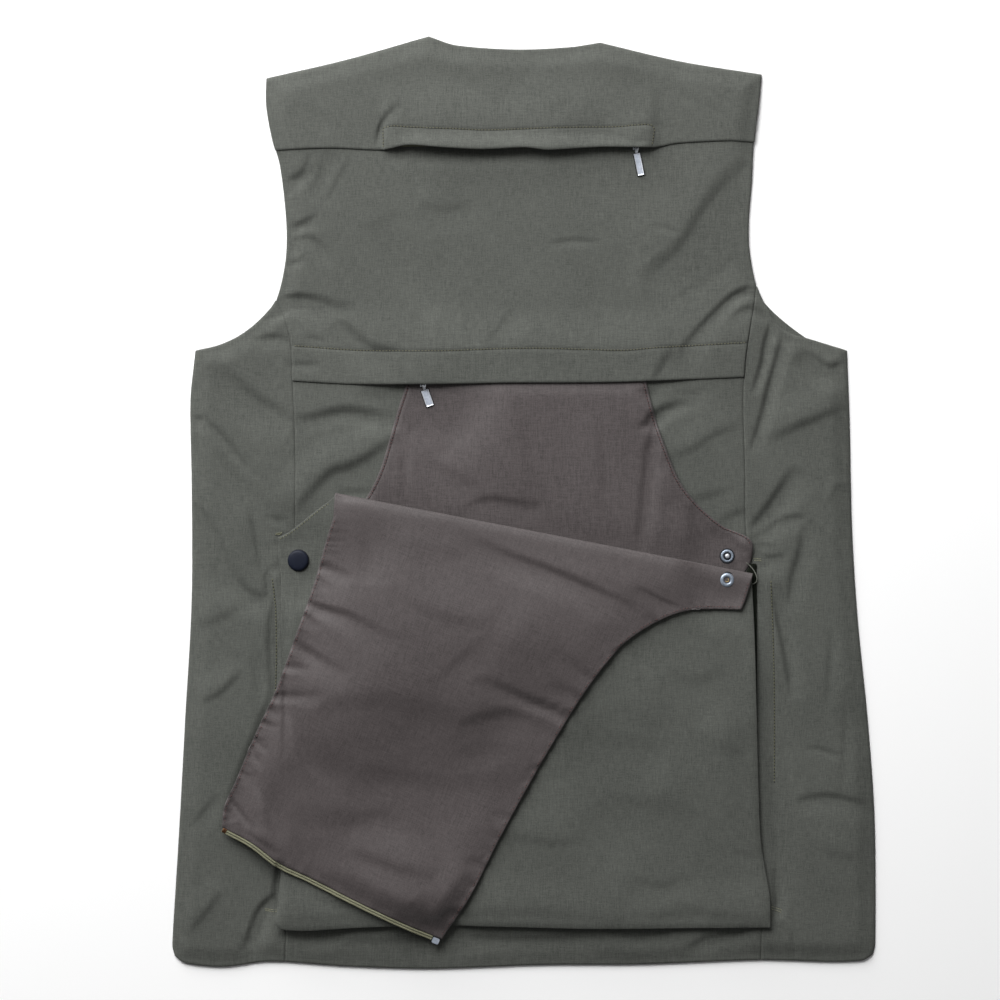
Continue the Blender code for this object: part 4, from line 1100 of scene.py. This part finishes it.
# %% [markdown]
# ## The bag's front
# Both layers are cut from one pattern: the part that stays, a strip that turns round the
# fold, and the part that hangs down. The pattern's z is the share of the half turn. Then each
# layer is bent round the fold at its own radius. Folding with a Simple Deform modifier would
# need a straight axis through the whole sheet, and would shift its lower part too.

# %% The pattern of the front panel
fold_columns = stations(333)
corner_columns = stations(46)
CORNER_SHARE = 46 / 379
ALL_COLUMNS = np.concatenate(
    [corner_columns[:-1] * CORNER_SHARE, CORNER_SHARE + (1 - CORNER_SHARE) * fold_columns]
)
BAG_UPPER_LEFT = np.vstack([BAG_CORNER_EDGE[::-1], BAG_LEFT[::-1]])
BAG_LOWER_RIGHT = np.vstack([BAG_BOTTOM, BAG_RIGHT])


def front_pattern():
    """The front panel in one mesh, and its flat area."""
    bm = bmesh.new()
    stays = patch(
        Edge(BAG_BOTTOM), Edge(BAG_RIGHT, [BAG_RIGHT[-1], Fold.end], corners=(0.98,)),
        Edge(np.vstack([BAG_CORNER_EDGE, Fold.start]), [Fold.start, Fold.end], corners=(CORNER_SHARE,)),
        Edge(BAG_LEFT), ALL_COLUMNS, stations(300, keep=(0.98,)),
    )
    rows = add_net(bm, stays)
    line = rows[-1][len(corner_columns) - 1 :]
    edges = [
        next(edge for edge in first.link_edges if edge.other_vert(first) == second)
        for first, second in zip(line, line[1:])
    ]
    for step in range(1, Fold.steps + 1):
        turned = bmesh.ops.extrude_edge_only(bm, edges=edges)["geom"]
        lines = [part for part in turned if isinstance(part, bmesh.types.BMEdge)]
        edges = [edge for edge in lines if all(vert in turned for vert in edge.verts)]
        for vert in (part for part in turned if isinstance(part, bmesh.types.BMVert)):
            vert.co.z = step / Fold.steps
    tip = 1 - 58 / 440
    hangs = patch(
        Edge(ZIP_EDGE), Edge(FLAP_RIGHT, np.vstack([FLAP_CORNER, Fold.end]), corners=(tip,)),
        Edge([Fold.start, Fold.end]), Edge(np.vstack([Fold.start, FLAP_LEFT])[::-1]),
        fold_columns, stations(330, fine=(330 * tip,), keep=(tip,)),
    )
    rows = add_net(bm, hangs, turn=1.0)
    inner = [vert for row in rows[1:-1] for vert in row[1:-1]]
    for _ in range(25):
        bmesh.ops.smooth_vert(bm, verts=inner, factor=0.5, use_axis_x=True, use_axis_y=True)
    area = sum(face.calc_area() for face in bm.faces if face.calc_center_median().z in (0, 1))
    bmesh.ops.remove_doubles(bm, verts=bm.verts, dist=0.01)
    bmesh.ops.recalc_face_normals(bm, faces=bm.faces)
    bm.faces.ensure_lookup_table()
    if bm.faces[0].normal.z < 0:
        bmesh.ops.reverse_faces(bm, faces=bm.faces)
    return bm, area, border(stays), border(hangs)


def unfolded(places, ring):
    """Where the part that hangs lies on the flat cut."""
    away = (places - Fold.start) @ Fold.out
    return places - 2 * away[:, None] * Fold.out + math.pi * ring * Fold.out


FLAP_MIDDLE = np.array([-60.0, -170.0])
SHY, SHY_REACH = 1.5, 25


def bend_front(node, ring, finishes):
    """One layer of the front panel, bent round the fold. The green one ends just short of the brown."""
    name = f"{node}_cloth"
    bm, area, lower_edge, flap_edge = front_pattern()
    pattern = np.array([vert.co for vert in bm.verts])
    places, turn = pattern[:, :2], pattern[:, 2]
    outside = ring + CLOTH / 2
    level = Fold.middle + bag_relief(places) - outside * np.cos(math.pi * turn)
    hanging = turn > 0.999
    level[hanging] += flap_relief(places[hanging])
    if ring == Fold.green_ring:
        rim = nearest(places, FLAP_RIM)[0]
        inward = (FLAP_MIDDLE - places) / np.linalg.norm(FLAP_MIDDLE - places, axis=1)[:, None]
        shy = hanging * SHY * (1 - np.minimum(rim / SHY_REACH, 1)) ** 2
        places = places + shy[:, None] * inward
    if ring == Fold.brown_ring:
        level[hanging] -= soften(places[hanging], FLAP_RIM, 0.35, 1.8)
    else:
        level[~hanging] -= soften(places[~hanging], BAG_UPPER_LEFT, 0.35, 2.0)
        level[~hanging] -= soften(places[~hanging], BAG_LOWER_RIGHT, 1.2, 6.0)
    shift = outside * np.sin(math.pi * turn)[:, None] * Fold.out
    for vert, (x, y), z in zip(bm.verts, places + shift, level):
        vert.co = (x, y, z)
    made = thicken(make_object(name, bm, finishes[0], node=node))
    made.data.materials.append(finishes[1])
    centres = np.array([face.center.z for face in made.data.polygons]) / MM
    where = np.array([pattern[list(face.vertices), 2].mean() for face in made.data.polygons])
    made.data.polygons.foreach_set("material_index", (where > 0.5).astype(int))
    cut = np.vstack([lower_edge, unfolded(flap_edge, ring)])
    area += math.pi * ring * np.linalg.norm(Fold.end - Fold.start)
    cuts[name] = (cut.max(0) - cut.min(0), area, "folded", ["bag_lining_cloth"])
    print(f"{name}: {len(pattern)} points, top at {centres.max():.1f} mm")


bend_front("bag_front", Fold.green_ring, (GREEN, GREEN))
bend_front("bag_front_lining", Fold.brown_ring, (BROWN, BROWN_TURNED))

# %% [markdown]
# ## The fronts
# The two fronts lie underneath, face down, with a zip between them. Nothing of them shows
# from above, so they are plain: a sheet each, with softer folds than the back's, and the
# zip's tape with its teeth towards the table.

# %% Fronts and front zip
FRONT_ARMHOLE = curve([(254, 116), (222, 134), (190, 163), (170, 202), (165, 250), (172, 300), (185, 334)])
FRONT_NECK = curve([(9, 262), (26, 272), (46, 300), (58, 335), (62, 357)])
FRONT_ZIP_X, FRONT_ZIP_Y = (-6.0, 6.0), (-368.0, 250.7)
MIDDLE_X = 6.3


def front_net(way, side):
    """The net of one front: way is 1 on the right of the zip and -1 on the left."""
    hem = between(HEM * (way, 1), 0, MIDDLE_X, 273.3) + (0, 1.5)
    hem = hem if hem[0, 0] < hem[-1, 0] else hem[::-1]
    outer = np.vstack([hem[-1:], side[2:] * (way, 1) - (6, 0)])
    outer = outer[outer[:, 1] < 112]
    net = patch(
        Edge(hem), Edge(outer, np.vstack([outer[-1:], FRONT_ARMHOLE]), corners=(0.66,)),
        Edge([FRONT_NECK[-1], FRONT_ARMHOLE[-1]]),
        Edge([hem[0], (MIDDLE_X, 262)], np.vstack([(MIDDLE_X, 262), FRONT_NECK]), corners=(0.82,)),
        stations(260, 6.0), stations(720, 6.0, keep=(0.66, 0.82)),
    )
    return net if way == 1 else net[:, ::-1] * (-1, 1)


for way, side, which in ((-1, SIDE_LEFT, "left"), (1, SIDE_RIGHT, "right")):
    lay(f"front_{which}", front_net(way, side), front_height, [], edge_drop=0)

# %% [markdown]
# ## Rows of small pieces
# A stitch is a short length of thread that dips into the cloth at both ends, and a coil
# zip's tooth is a loop of wire. Both are rows of small ellipsoids on a line. A curve with an
# array modifier would make them too, but they would not follow the folds below so closely.

# %% Rows on a line


def marks(path, pitch):
    """Places a pitch apart along a line, and the way that the line runs there."""
    lengths = arc(path)
    where = np.arange(pitch / 2, lengths[-1], pitch)
    places = np.stack([np.interp(where, lengths, path[:, k]) for k in (0, 1)], -1)
    ahead = np.stack([np.interp(where + 0.5, lengths, path[:, k]) for k in (0, 1)], -1) - places
    behind = places - np.stack([np.interp(where - 0.5, lengths, path[:, k]) for k in (0, 1)], -1)
    way = ahead + behind
    return places, np.arctan2(way[:, 1], way[:, 0])


def moved(path, amount):
    """A line moved sideways, to its left."""
    way = np.gradient(path, axis=0)
    way /= np.linalg.norm(way, axis=1)[:, None]
    return path + amount * np.stack([-way[:, 1], way[:, 0]], -1)


def beyond(path, distance):
    """A line without its first stretch."""
    lengths = arc(path)
    start = [np.interp(distance, lengths, path[:, k]) for k in (0, 1)]
    return np.vstack([start, path[lengths > distance]])


bm = bmesh.new()
bmesh.ops.create_uvsphere(bm, u_segments=6, v_segments=4, radius=0.5)
BEAD = bpy.data.meshes.new("bead")
bm.to_mesh(BEAD)
bm.free()


def beads(bm, path, pitch, size, top, lift, uneven=0.0, seed=0):
    """Ellipsoids of a size along a line on a surface, raised a little above it."""
    draw = np.random.default_rng(seed)
    places, turns = marks(path, pitch)
    for place, turn, level in zip(places, turns, top(places)):
        x, y = place + draw.normal(0, uneven, 2)
        turned = Matrix.Rotation(turn + draw.normal(0, uneven), 4, "Z")
        bead = BEAD.copy()
        bead.transform(Matrix.Translation((x, y, level + lift)) @ turned @ Matrix.Diagonal((*size, 1)))
        bm.from_mesh(bead)
        bpy.data.meshes.remove(bead)
    return len(places)


def on_top(height):
    return lambda places: height(places) + REST + CLOTH


def bag_top(places):
    return Fold.middle + bag_relief(places) - Fold.green_ring + CLOTH / 2


def flap_top(places):
    return Fold.middle + bag_relief(places) + Fold.brown_ring + CLOTH / 2 + flap_relief(places)


# %% [markdown]
# ## Stitches
# The shell is sewn with olive thread and the lining with reddish brown. About four stitches
# go into a centimetre, and between them the needle's holes are near black beads of painted
# shade. Short dense bars hold the ends of the pockets and of the bag's opening, and a loop
# of thread holds the lining's end to the fold.

# %% Sewing
STITCH, HOLE, PITCH, SUNK = (1.6, 0.85, 0.5), (1.0, 0.8, 0.34), 2.6, -0.1
BAR_STITCH, BAR_PITCH, LOOP_BEAD, LOOP_PITCH = (1.3, 0.5, 0.5), 1.0, (1.5, 1.0, 1.0), 0.8
CORNER_STITCH = moved(BAG_CORNER_EDGE, -1.3)
FLAP_STITCHES = [
    moved(between(FLAP_LEFT, 1, -256, -14), 1.9), moved(between(FLAP_RIGHT, 0, -63, 172.5), 1.9),
    moved(FLAP_CORNER[1:-1], 1.8),
]
# Each bar's name, side, lift, seed and two lines.
BARS = [
    ("bar_left", "left", 0.05, 0, [(-206, -325.5), (-195.5, -326.5)], [(-205.5, -327), (-195, -327.8)]),
    ("bar_right", "right", 0.05, 1, [(198.8, -323.5), (207, -326)], [(198.4, -325.3), (206.6, -327.8)]),
    ("bar_top_right", "right", 0.05, 2, [(184.6, -45.4), (191, -46)], [(185, -47), (191.4, -47.4)]),
    ("bar_top_left", "left", 0.3, 9, [(-197.4, -26.6), (-192.6, -26)], [(-197, -25.6), (-192.4, -24.9)]),
]
SEWING = [
    ("yoke_stitches", "yoke_cloth", [WELT_STITCH], on_top(yoke_height), OLIVE_THREAD),
    ("band_stitches", "back_panel_cloth", [BAND_STITCH], on_top(panel_height), OLIVE_THREAD),
    ("lining_stitches", "bag_lining_cloth", LINING_STITCHES, on_top(lining_height), BROWN_THREAD),
    ("corner_stitches", "bag_front_cloth", [CORNER_STITCH], bag_top, TAN_THREAD),
    ("flap_stitches", "bag_front_lining_cloth", FLAP_STITCHES, flap_top, BROWN_THREAD),
    ("side_stitches_left", "side_left_cloth", [POCKET_STITCH_LEFT], on_top(body_height), TAN_THREAD),
    ("side_stitches_right", "side_right_cloth", [POCKET_STITCH_RIGHT], on_top(body_height), TAN_THREAD),
]
trims = {}
for number, (name, carrier, paths, top, finish) in enumerate(SEWING):
    bm = bmesh.new()
    count = sum(beads(bm, path, PITCH, STITCH, top, SUNK, 0.06, number) for path in paths)
    known = len(bm.faces)
    # Between the stitches go near black beads, painted shade where the needle's holes are.
    for path in paths:
        beads(bm, beyond(path, PITCH / 2), PITCH, HOLE, top, SUNK, 0.06, number)
    paint(bm, known, 1)
    made = make_object(name, bm, finish)
    made.data.materials.append(HOLE_PAINTED_SHADE)
    trims.setdefault(carrier, []).append(made)
    print(name, count, "stitches")
for name, side, lift, seed, *paths in BARS:
    bm = bmesh.new()
    for path in paths:
        beads(bm, np.array(path), BAR_PITCH, BAR_STITCH, on_top(body_height), lift, 0.1, seed)
    trims.setdefault(f"side_{side}_cloth", []).append(make_object(name, bm, PALE_THREAD))
bm = bmesh.new()
thread_loop = curve(
    [
        (179, -49), (183.4, -53.2), (185.7, -56.8), (187.2, -60.8), (186.8, -63.8), (184.6, -65.6),
        (181, -65.4),
    ],
    0.8,
)
beads(bm, thread_loop, LOOP_PITCH, LOOP_BEAD, on_top(lining_height), 0.45)
trims["bag_lining_cloth"].append(make_object("thread_loop", bm, GREY_THREAD))

# %% [markdown]
# ## Zips
# Each zip is a woven tape with a nylon coil along it. The yoke's and the bag's zips lie
# under cloth edges and their pull tabs hang out. The zip on the turned-down flap shows its
# edge: two round olive ridges of coil, with a stop at one end and a metal box at the other.

# %% Tapes and coils
TAPE_THICK = 0.5


def tape(node, net, height, middle, across, tooth, lift, pitch=1.3):
    """A zip tape with two coils along it, each 0.8 mm from its middle line. Gives the coils."""
    name = f"{node}_tape"
    bm = bmesh.new()
    add_net(bm, net)
    for vert, z in zip(bm.verts, height(net.reshape(-1, 2))):
        vert.co.z = z + REST
    thicken(make_object(name, bm, TAPE, node=node), TAPE_THICK)
    bm = bmesh.new()
    lines = [np.array(middle) + side * np.array(across) for side in (-0.8, 0.8)]
    count = sum(
        beads(bm, line, pitch, tooth, lambda places: height(places) + REST + TAPE_THICK, lift)
        for line in lines
    )
    print(name, count, "loops of coil")
    return make_object(f"{name}_coil", bm, ZIP_TEETH)


def declare_tape(name, size, rests_on, coil):
    cuts[name] = (size, size[0] * size[1], "laid", rests_on)
    trims[name] = [coil]


def yoke_zip_height(places):
    return LINING + body_relief(places)


def bag_zip_height(places):
    return BAG + body_relief(places)


def front_zip_height(places):
    return 0.45 - REST + 0 * places[:, 0]


def flap_zip_height(places):
    return flap_top(places) - 1.1


CROSS_ZIPS = [
    ("yoke_zip", YOKE_ZIP_X, YOKE_ZIP_Y, yoke_zip_height, (0.75, 2.0, 1.0), 0.35),
    ("bag_zip", BAG_ZIP_X, BAG_ZIP_Y, bag_zip_height, (0.75, 2.0, 0.8), 0.2),
]
coils = {}
for node, (left, right), (low, high), height, tooth, lift in CROSS_ZIPS:
    middle = [(left + 2, (low + high) / 2), (right - 2, (low + high) / 2)]
    coils[node] = tape(node, strip_net(left, right, low, high), height, middle, (0, 1), tooth, lift)
(left, right), (low, high) = YOKE_ZIP_X, YOKE_ZIP_Y
declare_tape("yoke_zip_tape", (right - left, high - low), ["back_panel_cloth"], coils["yoke_zip"])
(left, right), (low, high) = FRONT_ZIP_X, FRONT_ZIP_Y
front_coil = tape(
    "front_zip", strip_net(left, right, low, high, 6.0), front_zip_height, [(0, -366), (0, 250)], (1, 0),
    (0.9, 2.0, 0.44), -0.72, 2.2,
)
declare_tape("front_zip_tape", (right - left, high - low), [], front_coil)

zip_line = between(ZIP_EDGE, 0, -238.5, -71.6)
bm = bmesh.new()
far, near = moved(zip_line, -3.6), moved(zip_line, 2.0)
add_net(bm, np.stack([far + (near - far) * share for share in np.linspace(0, 1, 9)]))
for vert, z in zip(bm.verts, flap_zip_height(np.array([vert.co.xy for vert in bm.verts]))):
    vert.co.z = z
thicken(make_object("flap_zip_tape", bm, TAPE, node="flap_zip"), TAPE_THICK)
bm = bmesh.new()
for offset in (-1.15, -3.0):
    beads(bm, moved(zip_line, offset), 0.85, (0.95, 1.9, 1.5), flap_zip_height, 0.6)
make_object("flap_zip_coil", bm, ZIP_TEETH)
bm = bmesh.new()
stop_at, _ = marks(moved(zip_line, -1.6), 2.4)
for size, shift in (((2.2, 3.4, 1.5), 0), ((1.2, 3.8, 1.0), 1.6)):
    place = stop_at[0] + np.array([shift * 0.9, -shift * 0.5])
    level = flap_zip_height(place[None])[0] + 1.0
    matrix = Matrix.Translation((*place, level)) @ Matrix.Rotation(math.radians(-27), 4, "Z")
    bmesh.ops.create_cube(bm, size=1, matrix=matrix @ Matrix.Diagonal((*size, 1)))
bevel(bm, bm.edges, 0.35, 2)
make_object("flap_zip_stop", bm, COPPER)

# %% [markdown]
# ## Pull tabs
# The tabs are cast in zinc: a plate with a raised rim round a rough sunk face, its bevelled
# edge painted near black as painted shade, and a neck that ends in an eye on the slider's
# pin. Each turns about that pin. They are made lying down at their pin, then turned to the
# way they lie.

# %% Pull tabs
PULL_NECK, PULL_THICK, PULL_BEVEL = 3.0, 1.2, 0.55
RIM_WIDTH, SUNK_FACE = 0.72, 0.34


def in_place(bm, start, matrix):
    """Moves what was added to a bmesh since it had so many points."""
    bm.verts.ensure_lookup_table()
    bmesh.ops.transform(bm, matrix=matrix, verts=bm.verts[start:])


def rounded_block(bm, size, corner, edge):
    """A block with rounded upright corners and softened edges. Gives its top face."""
    made = bmesh.ops.create_cube(bm, size=1, matrix=Matrix.Diagonal((*size, 1)))["verts"]
    edges = {line for vert in made for line in vert.link_edges}
    upright = [line for line in edges if abs(line.verts[0].co.z - line.verts[1].co.z) > size[2] / 2]
    bevel(bm, upright, corner, 3)
    caps = [face for face in bm.faces if abs(face.normal.z) > 0.9 and len(face.verts) > 4]
    rims = {line for cap in caps[-2:] for line in cap.edges}
    bevel(bm, rims, edge, 2)
    return max(bm.faces, key=lambda face: face.calc_center_median().z + 0.001 * len(face.verts))


def pull_tab(zip_name, pivot, tip, width, cloth_top):
    name = f"{zip_name}_pull_tab"
    reach = tip - pivot
    length = np.linalg.norm(reach) - PULL_NECK
    turn = Matrix.Rotation(math.atan2(reach[0], -reach[1]), 4, "Z")
    level = cloth_top + 0.35 + PULL_THICK / 2
    bm = bmesh.new()
    face = rounded_block(bm, (width, length, PULL_THICK), 0.8, PULL_BEVEL)
    # Sides and bevels take finish 2, painted near black as the shade round the tab.
    for side in bm.faces:
        side.material_index = 0 if abs(side.normal.z) > 0.95 else 2
    bmesh.ops.inset_region(bm, faces=[face], thickness=RIM_WIDTH)
    bmesh.ops.translate(bm, verts=face.verts, vec=(0, 0, -SUNK_FACE))
    face.material_index = 1
    bmesh.ops.inset_region(bm, faces=[face], thickness=0.1)
    in_place(bm, 0, Matrix.Translation((0, -PULL_NECK - length / 2, level)))
    start = len(bm.verts)
    neck = bmesh.ops.create_cube(bm, size=1, matrix=Matrix.Diagonal((1.9, PULL_NECK, 0.85, 1)))["verts"]
    sides = {line for vert in neck for line in vert.link_edges}
    bevel(bm, sides, 0.25, 2)
    in_place(bm, start, Matrix.Translation((0, -PULL_NECK / 2 - 0.6, level)))
    start = len(bm.verts)
    ring = bmesh.ops.create_circle(bm, cap_ends=False, segments=8, radius=0.36)["verts"]
    bmesh.ops.translate(bm, verts=ring, vec=(0, 0.88, 0))
    loop = list({line for vert in ring for line in vert.link_edges})
    bmesh.ops.spin(
        bm, geom=ring + loop, cent=(0, 0, 0), axis=(1, 0, 0), angle=2 * math.pi, steps=20, use_merge=True
    )
    in_place(bm, start, Matrix.Translation((0, 0, cloth_top + 2.1)) @ Matrix.Diagonal((2.2, 1, 1, 1)))
    bmesh.ops.recalc_face_normals(bm, faces=bm.faces)
    bm.transform(Matrix.Translation((*pivot, 0)) @ turn)
    made = make_object(
        name, bm, SILVER, body=f"{zip_name}_pull", node=f"{zip_name}_zip_pull"
    )
    made.data.materials.append(SILVER_FACE)
    made.data.materials.append(PAINTED_EDGE_SHADE)
    made.data.set_sharp_from_angle(angle=math.radians(40))
    print(f"{name}: plate {width} x {length:.1f} mm")


pull_tab("yoke", YOKE_PIVOT, YOKE_TIP, 6.2, BODY + 1.0)
pull_tab("bag", BAG_PIVOT, BAG_TIP, 7.1, LINING + 1.0)

# %% [markdown]
# ## Snaps
# Ring snaps are pressed through both layers. A cap shows where a snap is closed. Where it is
# open, the lining has the stud, with its post and rounded head, and the flap has the socket,
# with a wire spring in its hole. Each part is a profile spun about its axis.

# %% Snaps


def spun(bm, profile, finish):
    """Spins a profile of (radius, height) rows about an upright axis."""
    known = len(bm.faces)
    points = [bm.verts.new((radius, 0, height)) for radius, height in profile]
    lines = [bm.edges.new(pair) for pair in zip(points, points[1:])]
    bmesh.ops.spin(
        bm, geom=points + lines, cent=(0, 0, 0), axis=(0, 0, 1), angle=2 * math.pi, steps=48, use_merge=True
    )
    bmesh.ops.remove_doubles(bm, verts=bm.verts, dist=0.0005)
    paint(bm, known, finish)


def snap(name, node, parts, finishes, centre, level, lean=0.0):
    """One half of a snap, from profiles that have a finish each."""
    bm = bmesh.new()
    for number, profile in enumerate(parts):
        spun(bm, profile, number)
    bmesh.ops.recalc_face_normals(bm, faces=bm.faces)
    bm.transform(Matrix.Translation((*centre, level)) @ Matrix.Rotation(lean, 4, "Y"))
    made = make_object(name, bm, finishes[0], node=node)
    for finish in finishes[1:]:
        made.data.materials.append(finish)
    made.data.set_sharp_from_angle(angle=math.radians(50))
    print(f"{name}: {2 * max(r for profile in parts for r, _ in profile):.1f} mm across")


# Each half's profiles: first the rim, painted near black as the shade round the snap and in its hole, then a
# ring, a post or a cap.
STUD_RING = [(3.3, 0.3), (3.2, 0.75), (3.5, 1.15), (4.1, 1.35), (4.7, 1.2), (5.1, 0.8), (5.2, 0.3)]
STUD_POST = [
    (0, 0.3), (1.6, 0.3), (1.45, 0.9), (1.4, 1.6), (1.75, 2.2), (1.85, 2.7), (1.5, 3.15), (0.7, 3.35), (0, 3.4),
]
SOCKET_RING = [(2.8, 0.4), (2.6, 1.3), (2.9, 1.75), (3.7, 2.0), (4.7, 1.85), (5.4, 1.35), (5.7, 0.8), (5.7, 0.4)]
STUD_PARTS = [
    [(0, 0), (6.0, 0), (6.15, 0.2), (6.0, 0.45), (2.6, 0.5), (0, 0.5)], STUD_RING + STUD_RING[:1], STUD_POST,
]
SOCKET_PARTS = [
    [(0, 0), (6.5, 0), (6.75, 0.25), (6.6, 0.6), (2.4, 0.6), (0, 0.6)], SOCKET_RING + SOCKET_RING[:1],
]
CAP_PARTS = [
    [(0, 0), (8.5, 0), (8.8, 0.25), (8.6, 0.6), (0, 0.6)],
    [(0, 0.4), (8.1, 0.4), (8.35, 0.9), (8.2, 1.5), (7.6, 2.05), (6.2, 2.4), (3.4, 2.55), (0, 2.6)],
]
STUD_Z, SOCKET_Z, SPRING_Z, CAP_Z = BAG - 0.25, 8.95, 9.9, 6.35
CAP_LEAN = math.radians(-5)
STUD_FINISHES = (SNAP_PAINTED_SHADE, SNAP_SILVER, SILVER)
SOCKET_FINISHES = (SNAP_PAINTED_SHADE, SNAP_SILVER)
snap("stud_metal", "snap_stud_right", STUD_PARTS, STUD_FINISHES, STUD, STUD_Z)
snap("socket_metal", "snap_socket_right", SOCKET_PARTS, SOCKET_FINISHES, SOCKET, SOCKET_Z)
snap("cap_enamel", "snap_cap_left", CAP_PARTS, (SNAP_PAINTED_SHADE, ENAMEL), CAP, CAP_Z, lean=CAP_LEAN)
bm = bmesh.new()
wire = bmesh.ops.create_circle(bm, cap_ends=True, segments=8, radius=0.34)["verts"]
upright = Matrix.Rotation(math.pi / 2, 4, "X")
bmesh.ops.transform(bm, verts=wire, matrix=Matrix.Translation((1.25, 0, 0)) @ upright)
bmesh.ops.spin(
    bm, geom=bm.faces[:], cent=(0, 0, 0), axis=(0, 0, 1), angle=math.radians(210), steps=16, use_merge=False
)
bmesh.ops.recalc_face_normals(bm, faces=bm.faces)
bm.transform(Matrix.Translation((*SOCKET, SPRING_Z)) @ Matrix.Rotation(math.radians(200), 4, "Z"))
make_object("socket_spring", bm, BRASS)

# %% [markdown]
# ## The CAD pieces that stay
# Sliders and the box at the flap zip's end already have their shape, so they only get their
# finish.

# %% Finishes of the CAD pieces
KEPT = {
    "yoke_zip_slider": SILVER, "bag_zip_slider": SILVER, "front_zip_slider": SILVER,
    "flap_zip_box": BLUE_METAL,
}
for name, finish in KEPT.items():
    for material_slot in bpy.data.objects[name].material_slots:
        material_slot.material = finish
print("kept", sorted(KEPT))

# %% [markdown]
# ## Sizes of the cloth
# Every sheet's size before it was folded, its area and how it is held are printed. The
# tapes of the bag's zip are narrower than a sheet may be, so they stay undeclared.

for name, (size, area, held, rests_on) in cuts.items():
    width, length = (side * MM for side in size)
    area * MM * MM
    print(f"{name}: cut {size[0]:.0f} x {size[1]:.0f} mm, {area / 100:.0f} square centimetres, {held}")

# %% [markdown]
# ## Floor, light and camera
# The photograph looks straight down on the vest under wide soft light, a little stronger
# from the upper left, where the folds are brightest. A long lens keeps the outline true.

# %% Floor, light and camera
bm = bmesh.new()
bmesh.ops.create_grid(bm, x_segments=1, y_segments=1, size=3.0)
floor_mesh = bpy.data.meshes.new("floor")
bm.to_mesh(floor_mesh)
bm.free()
floor = bpy.data.objects.new("floor", floor_mesh)
bpy.context.scene.collection.objects.link(floor)
paper = Finish("pale floor", Roughness=0.9)
paper.colour((0.98, 0.98, 0.98, 1))
floor_mesh.materials.append(paper.material)


def soft_light(name, place, size, power):
    """A square lamp of a size that shines on the middle of the table."""
    lamp = bpy.data.lights.new(name, "AREA")
    lamp.size, lamp.energy = size, power
    made = bpy.data.objects.new(name, lamp)
    bpy.context.scene.collection.objects.link(made)
    made.location = place
    made.rotation_euler = (-Vector(place)).to_track_quat("-Z", "Y").to_euler()


soft_light("key light", (-1.03, 1.98, 1.36), 2.5, 166)
soft_light("fill light", (0.9, 0.2, 1.5), 1.6, 2)
world = bpy.data.worlds.new("studio")
world.use_nodes = True
air = world.node_tree.nodes["Background"].inputs
air["Color"].default_value = (1, 1, 1, 1)
air["Strength"].default_value = 0.12
bpy.context.scene.world = world
bpy.context.scene.view_settings.view_transform = "Standard"

VIEW_MIDDLE = (-0.0191, 0.0020)
VIEW_WIDTH, SENSOR, LENS = 0.8, 36.0, 120.0
camera = bpy.data.objects.new("camera", bpy.data.cameras.new("camera"))
camera.data.sensor_width, camera.data.lens = SENSOR, LENS
camera.location = (*VIEW_MIDDLE, VIEW_WIDTH * LENS / SENSOR)
bpy.context.scene.collection.objects.link(camera)
bpy.context.scene.camera = camera
print("camera", [round(c, 3) for c in camera.location])
